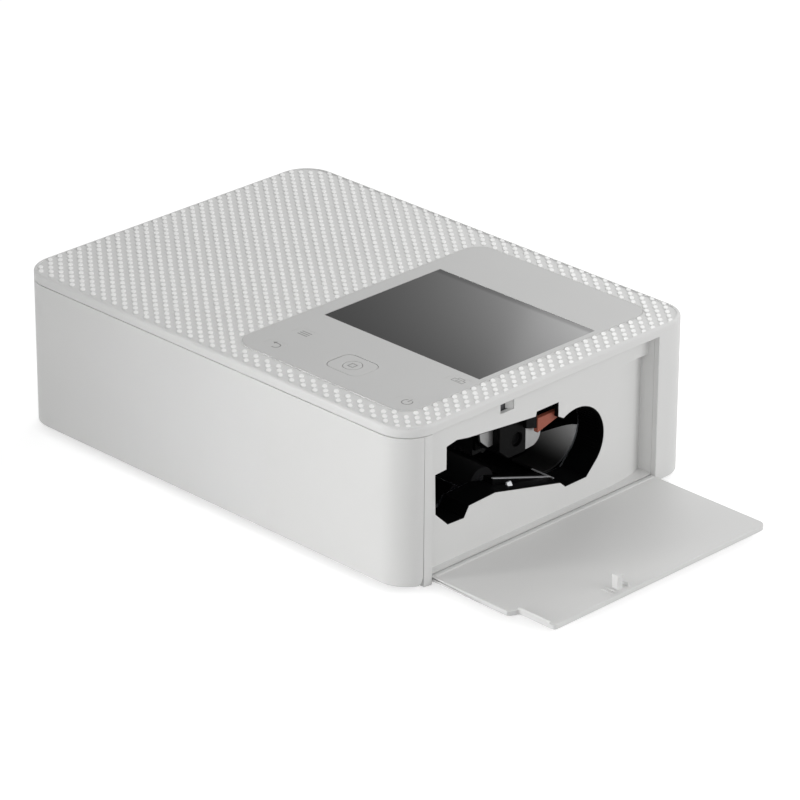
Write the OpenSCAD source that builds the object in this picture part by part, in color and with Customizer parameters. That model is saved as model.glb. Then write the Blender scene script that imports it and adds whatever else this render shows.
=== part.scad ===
// Compact photo printer with a ribbon bay behind a hinged side cover and a
// paper tray slot behind a hinged front cover. Millimetres, Z up. X runs along
// the long front face, the ribbon bay faces +X and the front cover faces -Y.
// The origin is the middle of the case on the plane that its feet stand on.
// The side cover is drawn open and the front cover shut.

/* [Case] */
// Length of the case, side to side
body_l = 182.2; // [180:0.2:190]
// Width of the case, front to back
body_w = 133.0; // [132:0.2:140]
// Height of the case over its feet
body_h = 57.6; // [57.2:0.2:62]
// Radius of the four upright corners
corner_r = 11.6; // [10.5:0.1:12.5]
// Wall of the moulded covers
wall = 2.0; // [1.8:0.1:2.2]
// Thickness of the top
top_t = 2.2; // [2:0.1:2.4]
// Thickness of the floor pan
floor_t = 2.0; // [1.6:0.1:2.2]
// Height of the feet below the floor pan
foot_h = 2.0; // [1.8:0.1:2.6]
// Radius of a foot
foot_r = 6.0; // [4:0.5:8]
// Height of the band of the top above the front cover
band_h = 3.6; // [3:0.1:5]
// Gap along the seams between covers
seam = 0.4; // [0.3:0.05:0.6]
// Depth of the field in the top that carries the raised pattern
field_d = 0.35; // [0.2:0.05:0.5]
// Plain border between the pattern and the edge of the top
field_edge = 1.6; // [1.2:0.1:3]

/* [Front cover] */
// How far the cover wraps back round each corner
wrap = 8.1; // [7:0.1:8.8]
// Setback of the hinge line behind the front face
front_hinge_in = 4.2; // [4:0.1:4.4]
// Height of the hinge line over the floor of the case
front_hinge_up = 1.0; // [0.9:0.1:1.4]
// Radius of a front hinge pin
front_pin_r = 1.0; // [0.8:0.1:1.2]

/* [Paper tray slot] */
// Width of the slot for the paper tray
slot_w = 108; // [100:1:109]
// Height of the slot for the paper tray
slot_h = 10.6; // [8:0.2:10.8]
// Width of the slot in the back that the sheet runs out of
exit_w = 106; // [100:1:110]
// Height of the slot in the back
exit_h = 5.4; // [5:0.1:5.6]

/* [Ribbon bay] */
// Depth of the bay plate behind the side face
bay_depth = 4.6; // [4.2:0.1:5]
// Thickness of the bay plate
plate_t = 1.6; // [1.4:0.1:1.8]
// Front edge of the side opening, from the middle of the case
bay_front = 55.0; // [54:0.1:56]
// Back edge of the side opening, from the middle of the case
bay_back = 49.2; // [48:0.1:50]
// Length of the finger scoop at the back of the bay
scoop_l = 19.2; // [18:0.1:20]
// Depth of the finger scoop behind the bay plate
scoop_d = 9.0; // [7:0.1:10]
// Height of the finger scoop
scoop_h = 42.8; // [36:0.2:43]

/* [Side cover] */
// Thickness of the side cover
flap_t = 1.8; // [1.6:0.1:2]
// Gap between the side cover and the case at each end
flap_gap = 0.5; // [0.4:0.05:0.7]
// Gap over the top of the shut side cover
flap_top_gap = 0.8; // [0.6:0.05:1.2]
// Width of the notch at the free corner
notch_w = 3.5; // [2.5:0.1:4.5]
// Length of the notch at the free corner
notch_l = 16; // [12:0.5:20]
// Height of the hook on the inside
hook_h = 5.0; // [4.4:0.1:5.2]
// Radius of a side hinge pin
side_pin_r = 0.45; // [0.35:0.05:0.5]

/* [Control panel] */
// Border of the panel beside the window, on the side of the case's middle
border_in = 6.1; // [5.4:0.1:6.6]
// Border of the panel beside the window, on the side of the bay
border_out = 2.1; // [1.8:0.1:2.4]
// Length of the panel, along Y
panel_l = 113.2; // [112:0.2:114]
// Middle of the panel along X
panel_x = 41.0; // [40.4:0.2:41.6]
// Middle of the panel along Y
panel_y = 0.6; // [0:0.2:1]
// Corner radius of the panel
panel_r = 7.0; // [5:0.5:9]
// Thickness of the panel
panel_t = 1.2; // [1:0.1:1.3]
// Width of the display window
screen_w = 70.2; // [68:0.2:71]
// Length of the display window
screen_l = 53.6; // [52:0.2:54]
// Middle of the display window along Y
screen_y = 5.6; // [5:0.2:6.4]
// Travel of a key
key_travel = 0.4; // [0.2:0.05:0.4]
// Gap round a key
key_gap = 0.12; // [0.1:0.01:0.2]

/* [Print mechanism] */
// Clear width between the two steel side frames
mech_w = 124; // [122:1:125]
// Sheet thickness of the steel frames
steel = 1.2; // [1:0.1:1.4]
// Bore of the ribbon bay round each spool
spool_r = 13.2; // [12.8:0.1:13.4]
// Radius of the platen roller
platen_r = 5.5; // [5:0.1:5.7]
// Radius of the capstan roller and of the pinch roller over it
capstan_r = 2.6; // [2.4:0.1:2.8]
// Radius of the pick-up roller
pickup_r = 3.6; // [3.2:0.1:4]
// Length of the rubber on the platen roller
platen_l = 104; // [100:1:108]
// Travel of the cassette lock lever
lever_travel = 2.0; // [1:0.1:2.2]
// Tooth module of the gears
gear_m = 0.75; // [0.72:0.01:0.76]
// Running clearance round a shaft
run = 0.05; // [0.02:0.01:0.09]

/* [Hidden] */
$fn = 48;
fit = 0.1;
part_gap = 0.3;
through = 1;

side_x = body_l / 2;
side_y = body_w / 2;
pan_z = foot_h;
base_z = foot_h + floor_t;
seam_z = body_h - band_h;
under_z = body_h - top_t;
pan_in = wall + part_gap;

cover_end = -side_y + wrap;
strip_y = cover_end + part_gap;
front_hinge = [-side_y + front_hinge_in, base_z + front_hinge_up];
front_lug_x = side_x - 20.6;
front_lug_w = 4.1;
front_ear_w = 4.0;
front_knuckle_r = front_pin_r + 0.8;

plate_x = side_x - bay_depth;
plate_back = plate_x - plate_t;
lintel_z = seam_z + seam / 2;
sill_z = base_z + 0.6;

flap_r = flap_t / 2;
side_hinge = [side_x - flap_r, base_z - 0.4];
flap_y0 = -bay_front + flap_gap;
flap_y1 = bay_back - flap_gap;
flap_len = lintel_z - flap_top_gap - side_hinge[1];
flap_tip = side_hinge[0] + flap_len;
flap_top = side_hinge[1] + flap_r;

latch_y = -17.1;
latch_z = lintel_z - 4.55;
latch_w = 6.2;
latch_h = 3.5;

frame_rx = plate_x - 12.5;
frame_lx = frame_rx - mech_w;
mech_x = (frame_rx + frame_lx) / 2;
gear_x0 = frame_lx - steel - 6.8;
gear_t = 4;
motor_plate_x = frame_lx - steel - 12.4;

spool_a = [-36.5, base_z + 27.0];
spool_b = [15.4, base_z + 21.3];
platen = [-5.0, base_z + platen_r + 1.2];
path_z = base_z + 6.9;
capstan = [33.5, path_z - capstan_r];
pinch = [capstan[0], path_z + capstan_r];
pickup = [-17.0, base_z + 8.5];
head_pivot = [31.0, under_z - 9.4];
tie_front = [-28.0, under_z - 7.8];
tie_back = [36.0, base_z + 26.0];
tie_r = 2.0;
head_shaft_r = 2.5;
platen_shaft_r = 2.5;
capstan_journal_r = 1.9;
pinch_journal_r = 1.5;
pickup_shaft_r = 1.5;
spindle_r = 4.5;
bush_wall = 1.2;
head_y = -9.0;
head_w = 11.0;
head_z = base_z + 20.6;
head_left = frame_lx + 3;
head_right = frame_rx - 5;
cap_x1 = plate_back - 2.9;
cap_y = [-15.6, -3.6];
cap_z = [lintel_z - 26.2, lintel_z - 13.4];
tab_t = 1.0;

capstan_teeth = 9;
idler_teeth = 22;
pinion_teeth = 9;
take_up_teeth = 27;
pickup_idler_teeth = 28;
pickup_teeth = 14;
function pitch_r(teeth) = gear_m * teeth / 2;
// Centre of a gear in mesh with two others, on the side that turn picks
function mesh_point(p, q, rp, rq, turn) =
    let (d = norm(q - p), u = (q - p) / d, a = (rp * rp - rq * rq + d * d) / (2 * d))
    p + a * u + turn * sqrt(rp * rp - a * a) * [-u[1], u[0]];
// Angle of a tooth on the second gear, so that it falls in a gap of the first
function mate_phase(phase, teeth, mate_teeth, angle) =
    angle + 180 - 180 / mate_teeth + (angle - phase) * teeth / mate_teeth;
function bearing(p, q) = atan2(q[1] - p[1], q[0] - p[0]);
function polar(p, r, angle) = p + r * [cos(angle), sin(angle)];
idler = polar(capstan, pitch_r(capstan_teeth) + pitch_r(idler_teeth), 64);
feed_drive = polar(idler, pitch_r(idler_teeth) + pitch_r(pinion_teeth), 50);
ribbon_drive = polar(spool_b, pitch_r(take_up_teeth) + pitch_r(pinion_teeth), 151);
pickup_idler_c = mesh_point(ribbon_drive, pickup,
    pitch_r(pinion_teeth) + pitch_r(pickup_idler_teeth),
    pitch_r(pickup_teeth) + pitch_r(pickup_idler_teeth), -1);
idler_phase = mate_phase(0, capstan_teeth, idler_teeth, bearing(capstan, idler));
feed_phase = mate_phase(idler_phase, idler_teeth, pinion_teeth, bearing(idler, feed_drive));
ribbon_phase = mate_phase(0, take_up_teeth, pinion_teeth, bearing(spool_b, ribbon_drive));
pickup_idler_phase = mate_phase(ribbon_phase, pinion_teeth, pickup_idler_teeth,
    bearing(ribbon_drive, pickup_idler_c));
pickup_phase = mate_phase(pickup_idler_phase, pickup_idler_teeth, pickup_teeth,
    bearing(pickup_idler_c, pickup));
motor_r = 10.0;
ribbon_motor_r = 10.0;
motor_l = 20;
motor_shaft_r = 1.0;
post_r = 1.6;
posts = [[-14, under_z - 13.4], [26, under_z - 13.4], [50, base_z + 6], [0, base_z + 3.6]];

panel_w = screen_w + border_in + border_out;
panel_x0 = panel_x - panel_w / 2;
panel_x1 = panel_x + panel_w / 2;
panel_y0 = panel_y - panel_l / 2;
panel_y1 = panel_y + panel_l / 2;
screen_x = panel_x0 + border_in + screen_w / 2;
screen_y0 = screen_y - screen_l / 2;
screen_y1 = screen_y + screen_l / 2;
pocket_z = body_h - panel_t;
cap_t = panel_t - key_travel - fit;
stem_r = 1.2;
stem_end = under_z - 1.5;
board_t = 1.2;
dome_h = 0.6;
key_board_top = stem_end - key_travel - dome_h - fit;
menu_at = [panel_x0 + 12.6, panel_y0 + 19.8];
back_at = [panel_x0 + 12.6, panel_y0 + 7.1];
print_at = [panel_x1 - 6.0, screen_y0 - 5.7];
power_at = [panel_x1 - 6.2, panel_y0 + 6.8];
pad_at = [panel_x + 1.6, panel_y0 + 13.7];
key_board_y0 = back_at[1] - 2.5;
key_board_y1 = print_at[1] + 2.7;
small_key = [9.0, 5.6];
small_key_r = 2.0;
pad_size = [15.0, 12.0];
pad_r = 3.4;
ok_r = 3.1;
screen_edge = 1.2;

lever_y0 = -2.0;
lever_y1 = 12.2;
lever_t = 1.8;
lever_x1 = plate_back - 0.5;
lever_low = lintel_z - 18.9;
lever_top = lintel_z - 14.2;
stem_y = 10.8;
stem_half = 1.4;
stem_top = lever_top + 7.0;
spring_top = stem_top + 5.0;
guide_t = 1.0;

board_y = side_y - wall - 4.5;
board_z0 = base_z + 12;
board_z1 = under_z - 5.4;
board_x0 = -78;
board_x1 = 60;
jack_at = [-65, base_z + 21];
jack_r = 2.75;
usb_at = [-45, base_z + 20];
card_at = [-18, base_z + 20];
exit_z = base_z + 4.1;

foot_in = 15.0;
foot_front = 22.5;
foot_places = [for (s = [-1, 1], y = [-side_y + foot_front, side_y - foot_in])
    [s * (side_x - foot_in), y]];
screw_in = 7.1;
screw_front = [plate_back - 6.3, -side_y + 12.6];
screw_places = [[-screw_front[0], screw_front[1]], screw_front,
    [-side_x + screw_in, side_y - screw_in], [side_x - screw_in, side_y - screw_in]];
boss_r = 2.2;
screw_r = 1.2;
screw_head_r = 2.3;

// Points of an arc from angle a0 to a1 about c
function arc(c, r, a0, a1, n = 12) =
    [for (i = [0:n]) let (a = a0 + (a1 - a0) * i / n) c + r * [cos(a), sin(a)]];
// Outline of a rectangle from p to q with round corners
function round_rect(p, q, r) = concat(
    arc([q[0] - r, p[1] + r], r, -90, 0), arc([q[0] - r, q[1] - r], r, 0, 90),
    arc([p[0] + r, q[1] - r], r, 90, 180), arc([p[0] + r, p[1] + r], r, 180, 270));
// Outline of a part ring about c, from angle a0 to a1
function ring_sector(c, r0, r1, a0, a1) =
    concat(arc(c, r1, a0, a1, 28), arc(c, r0, a1, a0, 28));
// Outline of a gear, one trapezium to a tooth
function gear_points(teeth, phase) = [for (i = [0:teeth - 1], k = [0:3])
    let (step = 360 / teeth,
         at = [-0.33, -0.13, 0.13, 0.33][k],
         out = (k == 1 || k == 2) ? 0.8 : -1.1)
    (pitch_r(teeth) + out * gear_m) * [cos(phase + (i + at) * step), sin(phase + (i + at) * step)]];

module block(p, q) { translate(p) cube(q - p); }
module slab(p, q, r, z0, z1) {
    translate([0, 0, z0]) linear_extrude(height = z1 - z0) polygon(round_rect(p, q, r));
}
// Extrudes an outline drawn as (y, z) along X
module along_x(x0, x1) {
    translate([x0, 0, 0]) rotate([90, 0, 90]) linear_extrude(height = x1 - x0) children();
}
// Round bar along X at (y, z)
module rod_x(x0, x1, at, r) {
    translate([x0, at[0], at[1]]) rotate([0, 90, 0]) cylinder(r = r, h = x1 - x0);
}
// Round bar along Y at (x, z)
module rod_y(y0, y1, at, r) {
    translate([at[0], y0, at[1]]) rotate([-90, 0, 0]) cylinder(r = r, h = y1 - y0);
}
module rod_z(z0, z1, at, r) { translate([at[0], at[1], z0]) cylinder(r = r, h = z1 - z0); }
module footprint(inset, z0, z1) {
    slab([-side_x + inset, -side_y + inset], [side_x - inset, side_y - inset],
        corner_r - inset, z0, z1);
}

// Outer covers of the case

module lower_housing() {
    color("gainsboro") difference() {
        union() {
            intersection() {
                footprint(pan_in, pan_z, base_z);
                block([-side_x, strip_y - 0.9, pan_z - through], [side_x, side_y, base_z + through]);
            }
            for (s = [-1, 1]) front_ear(s);
        }
        // Room for the bay frame beside the front corner
        block([plate_back - part_gap, -side_y, pan_z - through],
            [side_x, -bay_front + part_gap, base_z + through]);
        for (p = foot_places) rod_z(pan_z - through, pan_z + 0.6, p, foot_r + fit);
        for (p = screw_places) {
            rod_z(pan_z - through, base_z + through, p, screw_r + fit);
            rod_z(pan_z - through, pan_z + 1.2, p, screw_head_r + fit);
        }
        for (x = [-30:6:54]) block([x, 38, pan_z - through], [x + 2.4, 56, base_z + through]);
    }
}
module front_ear(s) {
    x0 = front_lug_x + front_lug_w + part_gap;
    mirror([s < 0 ? 1 : 0, 0, 0]) difference() {
        union() {
            rod_x(x0, x0 + front_ear_w, front_hinge, front_knuckle_r);
            block([x0, front_hinge[0], pan_z + 0.8],
                [x0 + front_ear_w, strip_y - fit, base_z + 2.4]);
        }
        rod_x(x0 - through, x0 + front_ear_w - 0.6, front_hinge, front_pin_r + run);
    }
}

module upper_housing() {
    color("whitesmoke") difference() {
        union() {
            difference() {
                footprint(0, pan_z, body_h);
                footprint(wall, pan_z - through, under_z);
                block([-side_x - through, -side_y - through, pan_z - through],
                    [side_x + through, strip_y, lintel_z]);
                block([plate_back, -side_y, pan_z - through],
                    [side_x + through, bay_back, lintel_z]);
            }
            for (p = screw_places) rod_z(base_z + fit, under_z + through, p, boss_r);
            for (p = key_board_posts) rod_z(key_board_top, under_z + through, p, 1.8);
            for (p = board_posts) rod_y(board_y + 1.6, side_y - through, p, 2.4);
        }
        panel_pocket();
        pattern_field();
        for (p = screw_places) rod_z(base_z, base_z + 12, p, screw_r);
        for (p = key_board_posts) rod_z(key_board_top - through, under_z - 0.4, p, 0.7);
        for (p = board_posts) rod_y(board_y, side_y - wall, p, 0.8);
        block([mech_x - exit_w / 2, side_y - wall - through, exit_z],
            [mech_x + exit_w / 2, side_y + through, exit_z + exit_h]);
        rod_y(side_y - wall - through, side_y + through, jack_at, jack_r + 1.2);
        block([usb_at[0] - 6.9, side_y - wall - through, usb_at[1] - 3.1],
            [usb_at[0] + 6.9, side_y + through, usb_at[1] + 3.1]);
        block([card_at[0] - 12.6, side_y - wall - through, card_at[1] - 1.5],
            [card_at[0] + 12.6, side_y + through, card_at[1] + 1.5]);
        for (y = [-30:4.5:24]) block([-side_x - through, y, base_z + 14],
            [-side_x + wall + through, y + 2, base_z + 34]);
        rod_y(bay_back - through, bay_back + 3.2, side_hinge, side_pin_r + 0.02);
    }
}
key_board_posts = [for (x = [panel_x0 + 22.2, panel_x1 - 18.2],
    y = [key_board_y0 + 2.8, key_board_y1 - 4.2]) [x, y]];
board_posts = [[board_x0 + 4, board_z0 + 4], [board_x0 + 4, board_z1 - 4],
    [board_x1 - 4, board_z0 + 4], [board_x1 - 4, board_z1 - 4]];
module panel_pocket() {
    slab([panel_x0 - fit, panel_y0 - fit], [panel_x1 + fit, panel_y1 + fit], panel_r + fit,
        pocket_z, body_h + through);
    block([screen_x - screen_w / 2 - screen_edge, screen_y0 - screen_edge, under_z - through],
        [panel_x1 - screen_edge, screen_y1 + screen_edge, pocket_z + through]);
    for (p = [menu_at, back_at, print_at, power_at, pad_at])
        rod_z(under_z - through, pocket_z + through, p, stem_r + 0.3);
    for (p = pad_stem_places) rod_z(under_z - through, pocket_z + through, p, 1.2);
}
// The field stops short of the panel, which has a smooth rim of its own
module pattern_field() {
    difference() {
        footprint(field_edge, body_h - field_d, body_h + through);
        slab([panel_x0 - 1, panel_y0 - 1], [panel_x1 + 1, panel_y1 + 1], panel_r + 1,
            body_h - field_d - through, body_h + 2 * through);
    }
}

module front_cover() {
    top = seam_z - seam / 2;
    low = pan_z + 0.6;
    color("white") difference() {
        union() {
            difference() {
                footprint(0, low, top);
                footprint(wall, low - through, top + through);
                block([-side_x - through, cover_end, low - through],
                    [side_x + through, side_y + through, top + through]);
            }
            for (s = [-1, 1]) mirror([s < 0 ? 1 : 0, 0, 0]) {
                rod_x(front_lug_x, front_lug_x + front_lug_w, front_hinge, front_knuckle_r);
                block([front_lug_x, -side_y + wall / 2, front_hinge[1] - 1.2],
                    [front_lug_x + front_lug_w, front_hinge[0], front_hinge[1] + 1.2]);
                block([60, -side_y + wall / 2, top - 5.0],
                    [68, -side_y + wall + 2.0, top - 3.4]);
            }
            for (z = [base_z + 18, base_z + 30])
                block([-58, -side_y + wall / 2, z], [76, -side_y + wall + 1.0, z + 1.2]);
        }
        for (s = [-1, 1]) mirror([s < 0 ? 1 : 0, 0, 0]) {
            rod_x(front_lug_x + 0.6, front_lug_x + front_lug_w + through, front_hinge,
                front_pin_r + run);
            // The lower back corner is rounded about the hinge line, to swing clear
            difference() {
                block([side_x - corner_r - through, front_hinge[0], low - through],
                    [side_x + through, side_y, front_hinge[1]]);
                rod_x(side_x - corner_r - 2 * through, side_x + 2 * through, front_hinge,
                    wrap - front_hinge_in - part_gap);
            }
        }
    }
}
module front_hinge_pins() {
    color("silver") for (s = [-1, 1]) mirror([s < 0 ? 1 : 0, 0, 0])
        rod_x(front_lug_x + 0.8, front_lug_x + front_lug_w + part_gap + front_ear_w - 0.8,
            front_hinge, front_pin_r);
}
module tray_frame() {
    color("gainsboro") difference() {
        union() {
            intersection() {
                footprint(wall + fit, base_z + fit, under_z - fit);
                block([-side_x, strip_y + fit, base_z],
                    [plate_back - part_gap, strip_y + fit + 1.6, under_z]);
            }
            for (s = [-1, 1]) block([mech_x + s * (slot_w / 2 + 1) - 1, strip_y + fit, base_z + fit],
                [mech_x + s * (slot_w / 2 + 1) + 1, -52.0, base_z + slot_h]);
        }
        block([mech_x - slot_w / 2, strip_y - through, base_z + fit - through],
            [mech_x + slot_w / 2, -50, base_z + fit + slot_h]);
    }
}

// Ribbon bay and its cover

// The opening in the bay plate, as (y, z): a bay for each spool and the neck between
function bay_outline() = concat(
    [for (p = [[-44.3, 9.5], [-39.7, 8.6], [-34.8, 9.5], [-3.9, 12.4], [-3.4, 10.8],
        [6.8, 10.8], [6.8, 15.9]]) [p[0], lintel_z - p[1]]],
    arc(spool_b, spool_r, 118, -38, 24),
    [for (p = [[20.7, 8.0], [10.8, 7.9], [8.3, 10.1], [-5.7, 13.3], [-22.0, 17.1],
        [-33.8, 16.6], [-36.1, 13.0], [-43.4, 13.3], [-49.0, 18.7], [-49.3, 32.6],
        [-44.3, 32.9]]) [p[0], base_z + p[1]]]);

module bay_frame() {
    top = under_z - fit;
    back = bay_back + plate_t;
    skin = side_x - wall - fit;
    color("white") difference() {
        union() {
            block([plate_back, strip_y, base_z + fit], [plate_x, back, top]);
            // Jamb beside the front cover, flush with the outside of the case
            intersection() {
                footprint(0, pan_z, lintel_z - fit);
                block([plate_back, strip_y, pan_z], [side_x, -bay_front, lintel_z]);
            }
            intersection() {
                footprint(wall + fit, lintel_z - fit, top);
                block([plate_back, strip_y, lintel_z - fit], [side_x, back, top]);
            }
            block([plate_back, bay_back, base_z + fit], [skin, back, top]);
            block([plate_x - fit, -bay_front - fit, base_z + fit],
                [side_x - flap_t - part_gap, bay_back + fit, sill_z]);
            scoop_shell();
            lever_guides();
        }
        along_x(plate_back - through, plate_x + through) polygon(bay_outline());
        block([plate_back - through, latch_y - latch_w / 2, latch_z - latch_h / 2],
            [plate_x + through, latch_y + latch_w / 2, latch_z + latch_h / 2]);
        scoop_room();
        rod_y(-bay_front - 2.6, -bay_front + through, side_hinge, side_pin_r + 0.02);
    }
}
// Arc of the scoop wall in plan, tangent to the plate, moved inwards by g
function scoop_arc(g) =
    let (half = atan(scoop_d / scoop_l), r = scoop_l / sin(2 * half),
         c = [plate_x - r, bay_back - scoop_l])
    arc(c, r - g, 0, 2 * half, 16);
module scoop_shell() {
    difference() {
        translate([0, 0, base_z + fit]) linear_extrude(height = scoop_h + plate_t)
            polygon(concat([[plate_x, bay_back + fit], [plate_x, bay_back - scoop_l]],
                scoop_arc(plate_t), [[plate_x - scoop_d - plate_t, bay_back + plate_t],
                [plate_x, bay_back + plate_t]]));
        scoop_room();
    }
}
module scoop_room() {
    translate([0, 0, sill_z]) linear_extrude(height = scoop_h + base_z - sill_z)
        polygon(concat([[plate_x + through, bay_back], [plate_x + through,
            bay_back - scoop_l]], scoop_arc(0), [[plate_x - scoop_d, bay_back]]));
}
module lever_guides() {
    x0 = lever_x1 - lever_t;
    out = stem_half + part_gap;
    for (y = [stem_y - out - guide_t, stem_y + out])
        block([x0, y, stem_top - 3], [plate_back + fit, y + guide_t, spring_top + guide_t]);
    block([x0, stem_y - out - guide_t, spring_top],
        [plate_back + fit, stem_y + out + guide_t, spring_top + guide_t]);
}

module side_cover() {
    tip_r = 3.0;
    inner = flap_y0 + notch_w;
    notch_x = flap_tip - notch_l;
    hook_x = side_hinge[0] + latch_z - side_hinge[1];
    color("whitesmoke") difference() {
        union() {
            translate([0, 0, side_hinge[1] - flap_r]) linear_extrude(height = flap_t)
                polygon(concat([[side_hinge[0], flap_y0], [notch_x - 1, flap_y0],
                    [notch_x, flap_y0 + 1], [notch_x + 1, inner]],
                    arc([flap_tip - 1.5, inner + 1.5], 1.5, -90, 0, 6),
                    arc([flap_tip - tip_r, flap_y1 - tip_r], tip_r, 0, 90, 10),
                    [[side_hinge[0], flap_y1]]));
            rod_y(flap_y0, flap_y1, side_hinge, flap_r);
            // Rib along the notch, the hook and the low ribs beside it
            block([notch_x - 11, inner, flap_top - fit], [flap_tip - 2.5, inner + 0.8, flap_top + 1.1]);
            block([hook_x - 1.2, latch_y - 2.8, flap_top - fit],
                [hook_x + 1.2, latch_y - 0.4, flap_top + hook_h]);
            block([hook_x + 1.2 - fit, latch_y - 2.8, flap_top + hook_h - 1.0],
                [hook_x + 1.5, latch_y - 0.4, flap_top + hook_h]);
            for (y = [latch_y - 6.0, latch_y - 4.2, latch_y + 1.4])
                block([hook_x - 2.4, y, flap_top - fit], [hook_x + 2.0, y + 0.8, flap_top + 1.3]);
        }
        for (p = [[flap_y0 - through, flap_y0 + 3.2], [flap_y1 - 3.2, flap_y1 + through]])
            rod_y(p[0], p[1], side_hinge, side_pin_r + run);
    }
}
module side_hinge_pins() {
    color("silver") {
        rod_y(-bay_front - 2.4, flap_y0 + 3.0, side_hinge, side_pin_r);
        rod_y(flap_y1 - 3.0, bay_back + 3.0, side_hinge, side_pin_r);
    }
}
module cover_switch() {
    x1 = plate_back - 1.0;
    color("dimgray") union() {
        block([x1 - 5, latch_y - 4.2, latch_z - 2.6], [x1, latch_y + 4.2, latch_z + 2.6]);
        for (y = [latch_y - 6.6, latch_y + 3.8])
            block([x1 - 1.4, y, latch_z - 2.6], [plate_back - 0.05, y + 2.8, latch_z + 2.6]);
    }
}
module cassette_liner() {
    color("black") difference() {
        union() {
            along_x(frame_rx + steel + fit, plate_back - fit) difference() {
                offset(r = 1.5, $fn = 32) polygon(bay_outline());
                polygon(bay_outline());
            }
            // Ramp on the floor of the neck that lifts the ribbon over the sill
            along_x(frame_rx + steel + 1, plate_back - 4.6)
                polygon([[-16.8, base_z + 18.0], [6.2, base_z + 10.6], [5.6, base_z + 10.2],
                    [-5.7, base_z + 12.8], [-16.8, base_z + 15.4]]);
        }
        // Room for the lock lever and its lift
        block([lever_x1 - lever_t - part_gap, lever_y0 - part_gap, lever_low - part_gap],
            [plate_back + through, lever_y1 + part_gap, lever_top + lever_travel + 4]);
    }
}
module lock_lever() {
    color("chocolate") union() {
        along_x(lever_x1 - lever_t, lever_x1) polygon([[lever_y0, lever_low],
            [lever_y1 - 2.8, lever_low + 1.6], [lever_y1, lever_low + 3.2], [lever_y1, lever_top],
            [lever_y0, lever_top]]);
        block([lever_x1 - lever_t, stem_y - stem_half, lever_top - fit],
            [lever_x1, stem_y + stem_half, stem_top]);
    }
}
module lock_spring() {
    color("silver") difference() {
        rod_z(stem_top + 0.02, spring_top - 0.02, [lever_x1 - lever_t / 2, stem_y], 0.85);
        rod_z(stem_top - through, spring_top + through, [lever_x1 - lever_t / 2, stem_y], 0.5);
    }
}

// Control panel, display and keys

module key_cut(at, size, r, z0) {
    slab([at[0] - size[0] / 2, at[1] - size[1] / 2], [at[0] + size[0] / 2, at[1] + size[1] / 2],
        r, z0, body_h + through);
}
module control_panel() {
    color("gainsboro") difference() {
        slab([panel_x0, panel_y0], [panel_x1, panel_y1], panel_r, pocket_z, body_h);
        block([screen_x - screen_w / 2, screen_y0, pocket_z - through],
            [screen_x + screen_w / 2, screen_y1, body_h + through]);
        for (p = [menu_at, back_at, print_at, power_at])
            key_cut(p, small_key + 2 * [key_gap, key_gap], small_key_r + key_gap, pocket_z - through);
        key_cut(pad_at, pad_size + 2 * [key_gap, key_gap], pad_r + key_gap, pocket_z - through);
    }
}
module screen_window() {
    color("dimgray") block([screen_x - screen_w / 2 + fit, screen_y0 + fit, pocket_z],
        [screen_x + screen_w / 2 - fit, screen_y1 - fit, body_h - 0.05]);
}
module lcd_module() {
    inset = 0.3 - screen_edge;
    color("black") block([screen_x - screen_w / 2 + inset, screen_y0 + inset, under_z - 3.0],
        [panel_x1 - screen_edge - 0.3, screen_y1 - inset, pocket_z]);
}
module small_key_cap(at) {
    slab([at[0] - small_key[0] / 2, at[1] - small_key[1] / 2],
        [at[0] + small_key[0] / 2, at[1] + small_key[1] / 2], small_key_r, body_h - cap_t, body_h);
    rod_z(stem_end, body_h - cap_t / 2, at, stem_r);
}
module menu_key() { color("gainsboro") small_key_cap(menu_at); }
module back_key() { color("gainsboro") small_key_cap(back_at); }
module print_key() { color("gainsboro") small_key_cap(print_at); }
module power_key() { color("gainsboro") small_key_cap(power_at); }
pad_stem_places = [for (d = [[5.2, 0], [-5.2, 0], [0, 4.6], [0, -4.6]]) pad_at + d];
module four_way_key() {
    color("gainsboro") difference() {
        union() {
            slab([pad_at[0] - pad_size[0] / 2, pad_at[1] - pad_size[1] / 2],
                [pad_at[0] + pad_size[0] / 2, pad_at[1] + pad_size[1] / 2], pad_r,
                body_h - cap_t, body_h);
            for (p = pad_stem_places) rod_z(stem_end, body_h - cap_t / 2, p, 0.7);
        }
        rod_z(body_h - cap_t - through, body_h + through, pad_at, ok_r + key_gap);
    }
}
// Ring under the pad that lets it rock both ways
module pad_carrier() {
    color("dimgray") difference() {
        rod_z(under_z - 1.2, under_z - 0.5, pad_at, 3.6);
        rod_z(under_z - 2, under_z + through, pad_at, stem_r + 0.35);
    }
}
module ok_key() {
    color("gainsboro") union() {
        rod_z(body_h - cap_t, body_h, pad_at, ok_r);
        rod_z(stem_end, body_h - cap_t / 2, pad_at, stem_r);
    }
}
module key_board() {
    color("darkgreen") difference() {
        union() {
            block([panel_x0 + 6.2, key_board_y0, key_board_top - board_t],
                [panel_x1, key_board_y1, key_board_top]);
            for (p = [menu_at, back_at, print_at, power_at, pad_at])
                rod_z(key_board_top - fit, key_board_top + dome_h, p, 2.0);
            for (p = pad_stem_places) rod_z(key_board_top - fit, key_board_top + dome_h, p, 1.0);
        }
        for (p = key_board_posts) rod_z(key_board_top - board_t - 1, key_board_top + 1, p, 0.9);
    }
}
module flat_cable() {
    z0 = under_z - 2.4;
    y1 = board_y - 0.35;
    color("burlywood") along_x(screen_x - 23, screen_x - 3) polygon([[screen_y1 + 0.95, z0],
        [y1 - 3, z0], [y1, z0 - 3], [y1, board_z1 - 4], [y1 + 0.3, board_z1 - 4],
        [y1 + 0.3, z0 - 2.8], [y1 - 2.8, z0 + 0.3], [screen_y1 + 0.95, z0 + 0.3]]);
}
module rubber_feet() {
    color("dimgray") for (p = foot_places) rod_z(0, pan_z + 0.6, p, foot_r);
}
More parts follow.
